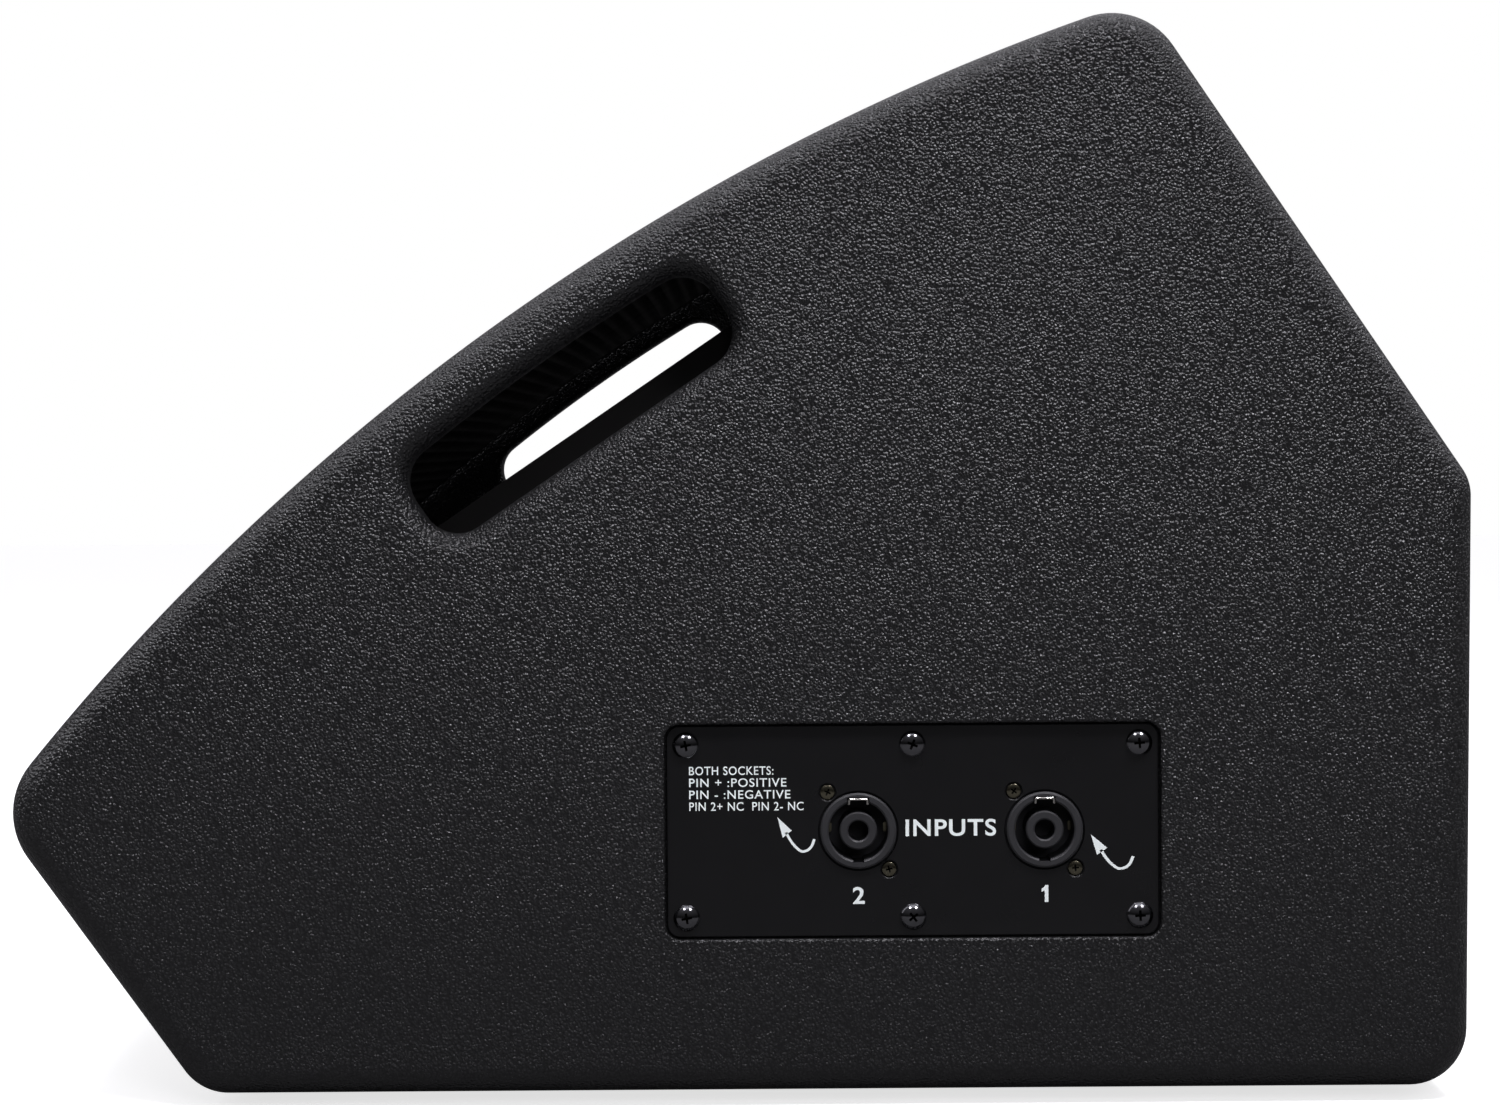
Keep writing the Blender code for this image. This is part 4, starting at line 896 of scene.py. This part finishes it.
def flat_grille(half_x, length):
    """The grille before it is bent: hexagons with a hole in each, and a plain margin."""
    row = HOLE_PITCH * sqrt(3) / 2
    columns = int((2 * half_x - 2 * GRILLE_MARGIN) / HOLE_PITCH)
    rows = int((length - 2 * GRILLE_MARGIN) / row)
    corner_r = HOLE_PITCH / sqrt(3)
    flat = bmesh.new()
    shared = {}

    def corner(x, y):
        """The vertex there, shared by the cells that meet at it."""
        key = (round(x * 1e5), round(y * 1e5))
        if key not in shared:
            shared[key] = flat.verts.new((x, y, 0.0))
        return shared[key]

    in_holes = set()
    first_x = -(columns - 0.5) * HOLE_PITCH / 2
    first_y = -(rows - 1) * row / 2
    for j in range(rows):
        for i in range(columns):
            cx = first_x + (i + 0.5 * (j % 2)) * HOLE_PITCH
            cy = first_y + j * row
            rim = []
            for k in range(6):
                a = pi / 6 + pi / 3 * k
                rim.append((a, corner(cx + corner_r * cos(a), cy + corner_r * sin(a))))
            hole = []
            for k in range(HOLE_SIDES):
                a = pi / 6 + 2 * pi * k / HOLE_SIDES
                spot = (cx + HOLE_R * cos(a), cy + HOLE_R * sin(a), 0.0)
                hole.append((a, flat.verts.new(spot)))
            zip_rings(flat, rim, hole)
            in_holes.update(v for _, v in hole)
    border = ring(flat, border_points(half_x, length / 2))
    edges = [e for e in flat.edges if len(e.link_faces) == 1 and e.verts[0] not in in_holes]
    edges += [flat.edges.new(pair) for pair in zip([border[-1], *border], border)]
    bmesh.ops.triangle_fill(flat, edges=edges, use_beauty=True, normal=(0, 0, 1))
    flat.faces.ensure_lookup_table()
    bmesh.ops.recalc_face_normals(flat, faces=flat.faces)
    if sum(f.normal.z for f in flat.faces) < 0:
        bmesh.ops.reverse_faces(flat, faces=flat.faces)
    pushed = bmesh.ops.extrude_face_region(flat, geom=flat.faces[:])
    for v in pushed["geom"]:
        if isinstance(v, bmesh.types.BMVert):
            v.co.z = GRILLE_T
    return flat


def border_points(half_x, half_y):
    """A rectangle's corners, with fine steps along the two edges that bend."""
    climb = [2 * half_y * i / BORDER_STEPS for i in range(BORDER_STEPS + 1)]
    right = [(half_x, -half_y + step, 0.0) for step in climb]
    return right + [(-half_x, half_y - step, 0.0) for step in climb]


def zip_rings(maker, outer, inner):
    """Triangles between two rings of (angle, vertex), each starting at the same angle."""
    i = j = 0
    turn = 2 * pi
    while i < len(outer) or j < len(inner):
        here = outer[i % len(outer)][1]
        there = inner[j % len(inner)][1]
        next_i = outer[(i + 1) % len(outer)]
        next_j = inner[(j + 1) % len(inner)]
        angle_i = next_i[0] + turn * ((i + 1) // len(outer))
        angle_j = next_j[0] + turn * ((j + 1) // len(inner))
        if j >= len(inner) or (i < len(outer) and angle_i <= angle_j):
            maker.faces.new((here, next_i[1], there))
            i += 1
        else:
            maker.faces.new((here, next_j[1], there))
            j += 1


# ---- screws and feet

def phillips_cutter(arm, depth):
    """A tapered cross."""
    blades = []
    for turn in (0.0, pi / 2):
        rings = []
        for reach, width, z in ((arm * 0.30, arm * 0.12, -depth), (arm, arm * 0.20, 0.0005)):
            rings.append([(reach, width, z), (-reach, width, z), (-reach, -width, z),
                          (reach, -width, z)])
        blades.append(moved(loft(rings), spun(turn)))
    return blades


def pan_head(radius, height, shank_r, shank):
    """A domed head on the plane z = 0 with a cross recess."""
    rise = height * 0.86
    ball = (radius * radius + rise * rise) / (2 * rise)
    spread = asin(min(radius / ball, 1.0))
    profile = [(0.0, -shank), (shank_r, -shank), (shank_r, 0.00003), (radius * 0.97, 0.00003),
               (radius, 0.00012)]
    for i in range(14):
        angle = spread * (1 - i / 13)
        profile.append((ball * sin(angle), height - ball * (1 - cos(angle))))
    blades = phillips_cutter(radius * 0.52, height * 0.85)
    lift = Matrix.Translation((0, 0, height))
    head = cut(turned(profile, 56), *[moved(blade, lift) for blade in blades])
    # The cross recess is marked for painted shade.
    for face in head.faces:
        centre = face.calc_center_median()
        out = hypot(centre.x, centre.y)
        dome = height - ball + sqrt(ball * ball - out * out)
        sunk = out < radius * 0.6 and 0.0002 < centre.z < dome - 0.00012
        face.material_index = int(sunk)
    return head


def screw(name, sizes, place, node=None):
    """A pan head, standing for its CAD node where it has one."""
    piece(name, moved(pan_head(*sizes), place), "screw_black", shade_look="shadow_black",
          replaces=[node] if node else ())


def place_screws():
    """All pan heads: of the plate, the woofer's frame, the horn and the grille."""
    for number, degrees in enumerate(PLATE_SCREW_TURNS, 1):
        node = f"plate_screw_{number}"
        turn = spun(radians(degrees))
        screw(f"pan_screw_{number}", PLATE_SCREW, plate_frame(on_plate(node)) @ turn, node)
    bolts = [(i, i - 0.5, FRAME_BOLT, f"woofer_bolt_{i}") for i in range(1, 5)]
    bolts += [(i + 4, i, SHORT_FRAME_BOLT, None) for i in range(1, 5)]
    for number, quarters, sizes, node in bolts:
        turn = spun(pi / 2 * quarters)
        place = baffle_frame(WOOFER_X, WOOFER_S) @ turn
        place = place @ Matrix.Translation((BOLT_CIRCLE_R, 0, 0))
        screw(f"frame_bolt_{number}", sizes, place, node)
    across, along = HORN_BOLT_AT
    spots = [(sx * across, sy * along) for sx in (-1, 1) for sy in (-1, 1)]
    for number, (px, py) in enumerate(spots, 1):
        place = baffle_frame(HORN_X, HORN_S) @ Matrix.Translation((px, py, 0))
        screw(f"horn_bolt_{number}", HORN_BOLT, place)
    for end, sign in (("nose", -1), ("top", 1)):
        line = (on_baffle(sign * GRILLE_SCREW_AT), OUT)
        point = line_meets_circle(line, ARC_CENTRE, ARC_R - GRILLE_INSET)
        normal = point - ARC_CENTRE
        tilt = Matrix.Rotation(atan2(-normal.x, normal.y), 4, "X")
        for side in ("left", "right"):
            node = f"grille_screw_{end}_{side}"
            place = Matrix.Translation((middle(node).x, point.x, point.y)) @ tilt
            screw(f"grille_pan_screw_{end}_{side}", GRILLE_SCREW, place, node)


def feet():
    """Tapered rubber feet, each with a screw in its well."""
    sole = [(0.0, 0.0018), (0.0055, 0.0018), (0.0060, 0.0), (0.0135, 0.0), (0.0150, 0.0010),
            (0.0150, FOOT_H), (0.0, FOOT_H)]
    head = [(0.0, 0.0006), (0.0036, 0.0008), (0.0040, 0.0017), (0.0, 0.0017)]
    for node in ("foot_front_left", "foot_front_right", "foot_rear_left", "foot_rear_right"):
        at = middle(node)
        place = Matrix.Translation((at.x, at.y, 0.0))
        turned_piece(f"rubber_{node}", sole, place, "rubber", 56, 0.0004, replaces=[node])
        turned_piece(f"{node}_screw", head, place, "screw_dull", 32, 0.0002)


# ---- input plate

def input_plate():
    """Painted steel plate with softened edges and holes."""
    back = -PLATE_SIZE.x
    edge = PLATE_EDGE
    maker = bmesh.new()
    loops = []
    for inset, z in ((0.0, back), (0.0, -edge), (edge * 0.3, -edge * 0.3), (edge, 0.0)):
        points = rounded_rectangle(PLATE_SIZE.y - 2 * inset, PLATE_SIZE.z - 2 * inset,
                                   PLATE_R - inset)
        loops.append(ring(maker, at_z(points, z)))
    bridge(maker, *loops)
    fronts, backs = [loops[-1]], [loops[0]]
    for node, radius, count in plate_holes():
        sections = [ring(maker, at_z(circle(on_plate(node), radius + grow, count), z))
                    for grow, z in ((0.00030, 0.0), (0.0, -0.00030), (0.0, back))]
        bridge(maker, *sections)
        fronts.append(sections[0])
        backs.append(sections[-1])
    fill(maker, fronts, (0, 0, 1))
    fill(maker, backs, (0, 0, -1))
    piece("input_plate_painted", moved(maker, plate_frame()), "plate_black",
          replaces=["input_plate"], weighted=True)


def plate_holes():
    """The plate's holes: the node that each is for, its radius and its count of sides."""
    sockets = [(f"speaker_socket_{i}", SOCKET_HOLE_R, 64) for i in (1, 2)]
    screws = [(f"plate_screw_{i}", SCREW_HOLE_R, 24) for i in range(1, 7)]
    fixings = [(f"socket_screw_{i}", FIXING_HOLE_R, 24) for i in range(1, 5)]
    return sockets + screws + fixings


def speaker_sockets():
    """Chassis sockets, each with its body, centre post, latch keeper and two contacts."""
    post = [(0.0, -0.0150), (0.00315, -0.0150), (0.00315, 0.0002), (0.0036, 0.0006),
            (0.0054, 0.0006), (0.00585, 0.0001), (0.00585, SOCKET_WELL - 0.0002),
            (0.0, SOCKET_WELL - 0.0002)]
    arch = [(-0.0029, 0.0082), (-0.0029, 0.0093), (-0.0025, 0.0098), (0.0025, 0.0098),
            (0.0029, 0.0093), (0.0029, 0.0082)]
    for number in (1, 2):
        node = f"speaker_socket_{number}"
        place = plate_frame(on_plate(node))
        body = moved(joined([socket_nose(), socket_flange()]), place)
        piece(f"socket_body_{number}", body, "socket_plastic", replaces=[node], angle=30.0)
        turned_piece(f"socket_post_{number}", post, place, "socket_plastic", 56)
        keeper = bent_wire([(x, y, 0.0011) for x, y in arch], 0.00040)
        piece(f"socket_latch_{number}", moved(keeper, place), "latch", slot="screw_dull")
        for hand, x in (("right", CONTACT_AT), ("left", -CONTACT_AT)):
            contact = box_maker((x - 0.0005, -0.0016, SOCKET_WELL),
                                (x + 0.0005, 0.0016, SOCKET_WELL + 0.0025))
            bmesh.ops.bevel(contact, geom=contact.edges[:], offset=0.0003, segments=2,
                            affect="EDGES")
            piece(f"socket_contact_{number}_{hand}", moved(contact, place), "screw_dull")


def socket_nose():
    """The nose ring, its well and the barrel behind, with a wide and a narrow key slot."""
    well = SOCKET_WELL
    profile = [(0.0, well), (0.00925, well), (0.00925, 0.00095), (0.00975, 0.0014),
               (0.01120, 0.0014), (0.01178, 0.00085), (0.01178, -0.0040), (0.0112, -0.0050),
               (0.0112, -0.0245), (0.0095, -0.0262), (0.0, -0.0262)]
    wide = box_maker((-0.0035, 0.0070, well + 0.0004), (0.0035, 0.01035, 0.005))
    narrow = box_maker((-0.00175, -0.0099, well + 0.0004), (0.00175, -0.0070, 0.005))
    return cut(turned(profile, 72), wide, narrow)


def socket_flange():
    """The flange that clamps behind the plate."""
    edge = rounded_rectangle(*FLANGE_SIZE, 5)
    hole = circle(Vector((0.0, 0.0)), FLANGE_HOLE_R, 72)
    top = -PLATE_SIZE.x - CLEARANCE
    maker = bmesh.new()
    back, front = [[ring(maker, at_z(points, z)) for points in (edge, hole)]
                   for z in (top - FLANGE_T, top)]
    bridge(maker, back[0], front[0])
    bridge(maker, back[1], front[1])
    fill(maker, back, (0, 0, -1))
    fill(maker, front, (0, 0, 1))
    return maker


def socket_fixings():
    """The sockets' countersunk screws."""
    head = [(0.0, -0.007), (0.0012, -0.007), (0.0012, -0.0019), (0.0023, -0.00070),
            (0.0023, -0.00050), (0.0020, -0.00025), (0.0012, -0.00008), (0.0, 0.0)]
    for number in range(1, 5):
        node = f"socket_screw_{number}"
        maker = cut(turned(head, 40), *phillips_cutter(0.0014, 0.0012))
        # The cross recess is marked for painted shade.
        for face in maker.faces:
            centre = face.calc_center_median()
            sunk = hypot(centre.x, centre.y) < 0.0013 and centre.z < -0.00018
            face.material_index = int(sunk)
        turn = spun(radians(25 + 40 * number))
        place = plate_frame(on_plate(node)) @ turn
        piece(f"socket_fixing_{number}", moved(maker, place), "screw_dull", replaces=[node],
              shade_look="shadow_black")


def lettering():
    """Generic white print: inlet numbers, wiring notes and two twist arrows."""
    lines = [("INPUTS", 0.0118, 0.0008, 0.0053, 0.0281, True),
             ("2", -0.0169, -0.0201, 0.0053, None, True)]
    notes = [("BOTH SOCKETS:", 0.0262), ("PIN + :POSITIVE", 0.0302),
             ("PIN - :NEGATIVE", 0.0314), ("PIN 2+ NC  PIN 2- NC", 0.0355)]
    for row, (words, width) in enumerate(notes):
        lines.append((words, -0.0693, 0.0189 - 0.0037 * row, 0.0027, width, False))
    for number, line in enumerate(lines, 1):
        print_piece(f"print_{number}", print_line(*line))
    print_piece("print_numeral_1", figure_one(Vector((0.0409, -0.0199)), 0.0053))
    print_piece("print_arrow_2", arrow(Vector((-0.0420, 0.0044)), 0.96))
    print_piece("print_arrow_1", arrow(Vector((0.0552, -0.0016)), 1.10))


def print_piece(name, maker):
    """Print put on the plate's face."""
    piece(name, moved(maker, plate_frame()), "print", slot="plate_black")


def printed(points):
    """A flat outline as a thin printed layer."""
    return loft([at_z(points, z) for z in (0.0, PRINT_T)])


def print_line(words, x, y, height, width, heavy):
    """One line of capitals, its middle height at y; heavy print is bolder, and centred on x."""
    curve = bpy.data.curves.new("words", "FONT")
    curve.body = words
    curve.size = height / 0.70
    curve.align_x = "LEFT"
    curve.offset = height * (0.026 if heavy else 0.013)
    curve.space_character = 1.10
    curve.extrude = PRINT_T / 2
    curve.resolution_u = 6
    maker = curve_to_maker(curve)
    xs = [v.co.x for v in maker.verts]
    ys = [v.co.y for v in maker.verts]
    natural = max(xs) - min(xs)
    stretch = (width or natural * 1.05) / natural
    rise = height / (max(ys) - min(ys))
    start = x - natural * stretch / 2 if heavy else x
    for v in maker.verts:
        v.co.x = start + (v.co.x - min(xs)) * stretch
        v.co.y = y - height / 2 + (v.co.y - min(ys)) * rise
        v.co.z += PRINT_T / 2
    bmesh.ops.remove_doubles(maker, verts=maker.verts, dist=1e-6)
    return maker


def figure_one(centre, height):
    """The numeral 1 with its flag, which the built-in letters lack."""
    shape = [(0.06, -0.5), (0.28, -0.5), (0.28, 0.5), (0.11, 0.5), (0.04, 0.38), (-0.12, 0.28),
             (-0.12, 0.10), (0.06, 0.18)]
    return printed([centre + Vector((x - 0.08, y)) * height for x, y in shape])


def arrow(tip, wide):
    """A curved twist arrow: a tapering head and a hooked tail, stretched sideways."""
    head = [tip, tip + Vector((0.0046, -0.0044)), tip + Vector((0.0017, -0.0067))]
    path = [tip + Vector(p) for p in ((0.0028, -0.0050), (0.0041, -0.0074), (0.0057, -0.0095),
                                      (0.0077, -0.0111), (0.0096, -0.0108), (0.0110, -0.0095),
                                      (0.0119, -0.0072))]
    fine = smooth_path(path, 6)
    left, right = [], []
    for before, point, after in zip([fine[0], *fine], fine, fine[1:] + fine[-1:]):
        normal = left_of(after - before) * ARROW_HALF_WIDTH
        left.append(point + normal)
        right.append(point - normal)
    stretch = Matrix.Translation((*tip, 0)) @ Matrix.Diagonal((wide, 0.96, 1, 1))
    stretch = stretch @ Matrix.Translation((*-tip, 0))
    return moved(joined([printed(left + right[::-1]), printed(head)]), stretch)


# ---- drivers and ports

def woofer():
    """Frame with its windows, motor, cone, dust cap and the two cloth rings."""
    place = baffle_frame(WOOFER_X, WOOFER_S)
    frame_profile = [
        (0.1550, 0.0), (0.1550, -0.0040), (0.1390, -0.0040), (0.1375, -0.0240),
        (0.0880, -0.0690), (0.0740, -0.0730), (0.0740, -0.0780), (0.0460, -0.0780),
        (0.0460, -0.0740), (0.0660, -0.0700), (0.0840, -0.0650), (0.1330, -0.0215),
        (0.1330, -0.0060), (0.1350, -0.0020), (0.1380, 0.0),
    ]
    windows = []
    hole = [p - Vector((0.0, 0.0455)) for p in rounded_rectangle(0.060, 0.037, 0.007)]
    for i in range(6):
        turn = spun(pi / 3 * (i + 0.5))
        windows.append(moved(loft([at_x(hole, x) for x in (0.088, 0.160)]), turn))
    basket = cut(turned(soften(frame_profile, 0.0008), 120), *windows)
    piece("woofer_basket", moved(basket, place), "frame_metal", replaces=["woofer_frame"])
    motor = {
        "top_plate": ("zinc", [(0.0270, -0.0863), (0.0720, -0.0863), (0.0720, -0.0783),
                               (0.0270, -0.0783)]),
        "magnet": ("magnet", [(0.0400, -0.1066), (0.0780, -0.1066), (0.0780, -0.0866),
                              (0.0400, -0.0866)]),
        "yoke": ("zinc", [(0.0080, -0.1149), (0.0740, -0.1149), (0.0740, -0.1069),
                          (0.0240, -0.1069), (0.0240, -0.0768), (0.0080, -0.0768)]),
    }
    for name, (look, profile) in motor.items():
        turned_piece(f"motor_{name}", profile, place, look, 96, 0.0012,
                     replaces=[f"woofer_{name}"])
    gasket = [(0.1360, 0.0001), (0.1360, 0.0022), (0.1440, 0.0022), (0.1440, 0.0001)]
    turned_piece("woofer_gasket", gasket, place, "rubber", 128, 0.0008)
    cone = [(0.0262, -0.0522), (0.0500, -0.0380), (0.0830, -0.0215), (0.1170, -0.0085)]
    turned_piece("cone_skin", thickened(smooth_path(cone, 10), 0.0013), place, "cone_paper",
                 128, body="cone_assembly", replaces=["woofer_cone"])
    dome = [(0.0400 * sin(a), -0.0420 + 0.0155 * cos(a)) for a in quarter(14)]
    turned_piece("dust_cap_skin", thickened(dome, 0.0010), place, "cone_paper", 96,
                 body="cone_assembly", replaces=["woofer_dust_cap"])
    glue = [(0.0395, -0.0445), (0.0395, -0.0420), (0.0425, -0.0405), (0.0440, -0.0414)]
    turned_piece("dust_cap_bead", glue, place, "rubber", 96, 0.0006, body="cone_assembly")
    cloth_ring("surround", place, (0.1160, 0.1335), (-0.0062, -0.0062), 0.0042, 2)
    cloth_ring("spider", place, (0.0262, 0.0635), (-0.0610, -0.0690), 0.0022, 4)


def cloth_ring(name, place, radii, heights, fold, count):
    """Folded cloth ring, from its inner edge at the cone out to its rim."""
    moving, still = radii
    line = []
    for i in range(20 * count + 1):
        share = i / (20 * count)
        lift = fold * abs(sin(count * pi * share)) ** 0.8
        line.append((moving + (still - moving) * share,
                     heights[0] + (heights[1] - heights[0]) * share + lift))
    made = turned_piece(f"{name}_cloth", thickened(line, 0.0009), place, "cloth", 112,
                        body=None, replaces=[f"woofer_{name}"])
    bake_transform(made)


def horn_ring(size_x, size_y, roundness, z, count=96):
    """One section of the horn: a circle at roundness 1, a soft rectangle towards 0."""
    power = 2.0 + 5.0 * (1.0 - roundness)
    points = []
    for i in range(count):
        angle = 2 * pi * (i + 0.5) / count
        c, s = cos(angle), sin(angle)
        reach = (abs(c) ** power + abs(s) ** power) ** (-1.0 / power)
        points.append(Vector((c * reach * size_x / 2, s * reach * size_y / 2, z)))
    return points


def horn():
    """The flare and its flange as one moulding."""
    mouth_x, mouth_y = HORN_MOUTH
    width, height = HORN_FLANGE
    neck, rim, collar_t = COLLAR
    lip = HORN_LIP
    inner = []
    outer = []
    for i in range(25):
        share = i / 24
        z = -HORN_DEPTH * (1 - share)
        bulge = share ** 1.7
        size_x, size_y = [2 * THROAT_R + (mouth - 2 * THROAT_R) * bulge for mouth in HORN_MOUTH]
        inner.append(horn_ring(size_x, size_y, 1 - bulge, z))
        outer.append(horn_ring(size_x + 2 * HORN_WALL, size_y + 2 * HORN_WALL, 1 - bulge, z))
    rings = inner[:-1]
    rings.append(horn_ring(mouth_x - lip, mouth_y - lip, 0.02, -lip * 0.9))
    rings.append(horn_ring(mouth_x + lip, mouth_y + lip, 0.0, 0.0))
    rings.append(horn_ring(width - 2 * lip, height - 2 * lip, -1.2, 0.0))
    rings += [horn_ring(width, height, -1.2, z) for z in (-lip, -HORN_FLANGE_T)]
    rings.append(horn_ring(mouth_x + 0.004, mouth_y + 0.004, 0.05, -HORN_FLANGE_T))
    collar_top = -HORN_DEPTH + collar_t
    rings += [r for r in outer[::-1] if collar_top < r[0].z < -HORN_FLANGE_T]
    rings.append(horn_ring(neck, neck, 1.0, collar_top))
    rings += [horn_ring(rim, rim, 1.0, z) for z in (collar_top, -HORN_DEPTH)]
    maker = moved(loft(rings, closed=True), baffle_frame(HORN_X, HORN_S))
    piece("horn_flare", maker, "horn_plastic", replaces=["horn"], angle=38.0)


def ports():
    """Flared port tubes."""
    profile = [
        (0.0300, 0.0030), (0.0275, 0.0022), (0.0260, 0.0), (0.0252, -0.0040),
        (0.0250, -0.0100), (0.0250, -0.1000), (0.0280, -0.1000), (0.0280, 0.0002),
        (0.0340, 0.0002), (0.0340, 0.0022), (0.0330, 0.0030),
    ]
    for number, x in enumerate(PORT_X, 1):
        turned_piece(f"port_flare_{number}", profile, baffle_frame(x, PORT_S), "horn_plastic",
                     72, replaces=[f"port_tube_{number}"])


def dress_cad_nodes():
    """Give every CAD node the look of its material slot, and the baffle its paint."""
    for entry in frame["record"]["subparts"]:
        look = "baffle_paint" if entry["node"] == "baffle" else entry["material_slot"]
        materials = NODES[entry["node"]].data.materials
        materials.clear()
        materials.append(LOOKS[look])


# ---- stage

def floor():
    """White ground: bright to the camera, dim to everything that reflects it."""
    maker = bmesh.new()
    bmesh.ops.create_grid(maker, x_segments=8, y_segments=8, size=FLOOR_SIZE)
    ground = add_object("floor", to_mesh("floor", maker))
    ground.location.z = -FLOOR_DROP
    look = Look("floor_paper", FLOOR_SEEN, 0.9)
    seen = look.node("ShaderNodeLightPath").outputs["Is Camera Ray"]
    look.colour(seen, FLOOR_REFLECTED, FLOOR_SEEN)
    look.put("Specular IOR Level", 0.0)
    look.put("Emission Color", (1.0, 1.0, 1.0, 1.0))
    look.link(look.maths("MULTIPLY", seen, FLOOR_GLOW), "Emission Strength")
    ground.data.materials.append(look.material)


def studio_world():
    """White behind the object, and a dim light that grows towards overhead."""
    world = bpy.data.worlds.new("studio")
    world.use_nodes = True
    tree = world.node_tree
    tree.nodes.clear()
    place = add_node(tree, "ShaderNodeTexCoord").outputs["Generated"]
    up = add_node(tree, "ShaderNodeSeparateXYZ", {"Vector": place}).outputs["Z"]
    strength = add_node(tree, "ShaderNodeMapRange", {
        "Value": up, "From Min": 0.1, "To Min": WORLD_LOW, "To Max": WORLD_HIGH,
    }).outputs["Result"]
    lit = add_node(tree, "ShaderNodeBackground", {
        "Color": (*STUDIO_TINT, 1.0), "Strength": strength,
    }).outputs["Background"]
    seen = add_node(tree, "ShaderNodeBackground", {
        "Color": (1.0, 1.0, 1.0, 1.0), "Strength": 1.0,
    }).outputs["Background"]
    camera_ray = add_node(tree, "ShaderNodeLightPath").outputs["Is Camera Ray"]
    blend = add_node(tree, "ShaderNodeMixShader", {"Fac": camera_ray, 1: lit, 2: seen})
    add_node(tree, "ShaderNodeOutputWorld", {"Surface": blend.outputs["Shader"]})
    bpy.context.scene.world = world
    bpy.context.scene.view_settings.view_transform = "Standard"


def lamps():
    """Square soft lights, each aimed at a point, and a wide sun from overhead."""
    for name, (place, target, size, power) in LAMPS.items():
        light = bpy.data.lights.new(name, "AREA")
        light.size = size
        light.energy = power
        light.color = STUDIO_TINT
        made = add_object(name, light)
        made.location = place
        made.rotation_euler = (target - Vector(place)).to_track_quat("-Z", "Y").to_euler()
        made.visible_glossy = name != "front_fill"
    sun = bpy.data.lights.new("ceiling", "SUN")
    sun.energy = CEILING_POWER
    sun.color = STUDIO_TINT
    sun.angle = CEILING_SPREAD
    add_object("ceiling", sun)


def camera():
    """A long lens level with the handle, looking squarely at the input side."""
    lens = bpy.data.cameras.new("camera")
    lens.sensor_width = SENSOR_MM
    lens.lens = FOCAL_MM
    lens.clip_start = NEAREST
    made = add_object("camera", lens)
    aim = spun(pi / 2)
    aim = aim @ Matrix.Rotation(pi / 2 - CAMERA_PITCH, 4, "X")
    aim = aim @ spun(-CAMERA_ROLL)
    made.matrix_world = Matrix.Translation(CAMERA_AT) @ aim
    bpy.context.scene.camera = made


# ---- build

def main():
    """Build every piece and the stage."""
    dress_cad_nodes()
    side_panel("cheek_left", "side_panel_left", -1, False)
    side_panel("cheek_right", "side_panel_right", 1, True)
    wrap()
    grille()
    place_screws()
    feet()
    input_plate()
    speaker_sockets()
    socket_fixings()
    lettering()
    woofer()
    horn()
    ports()
    floor()
    studio_world()
    lamps()
    camera()


main()
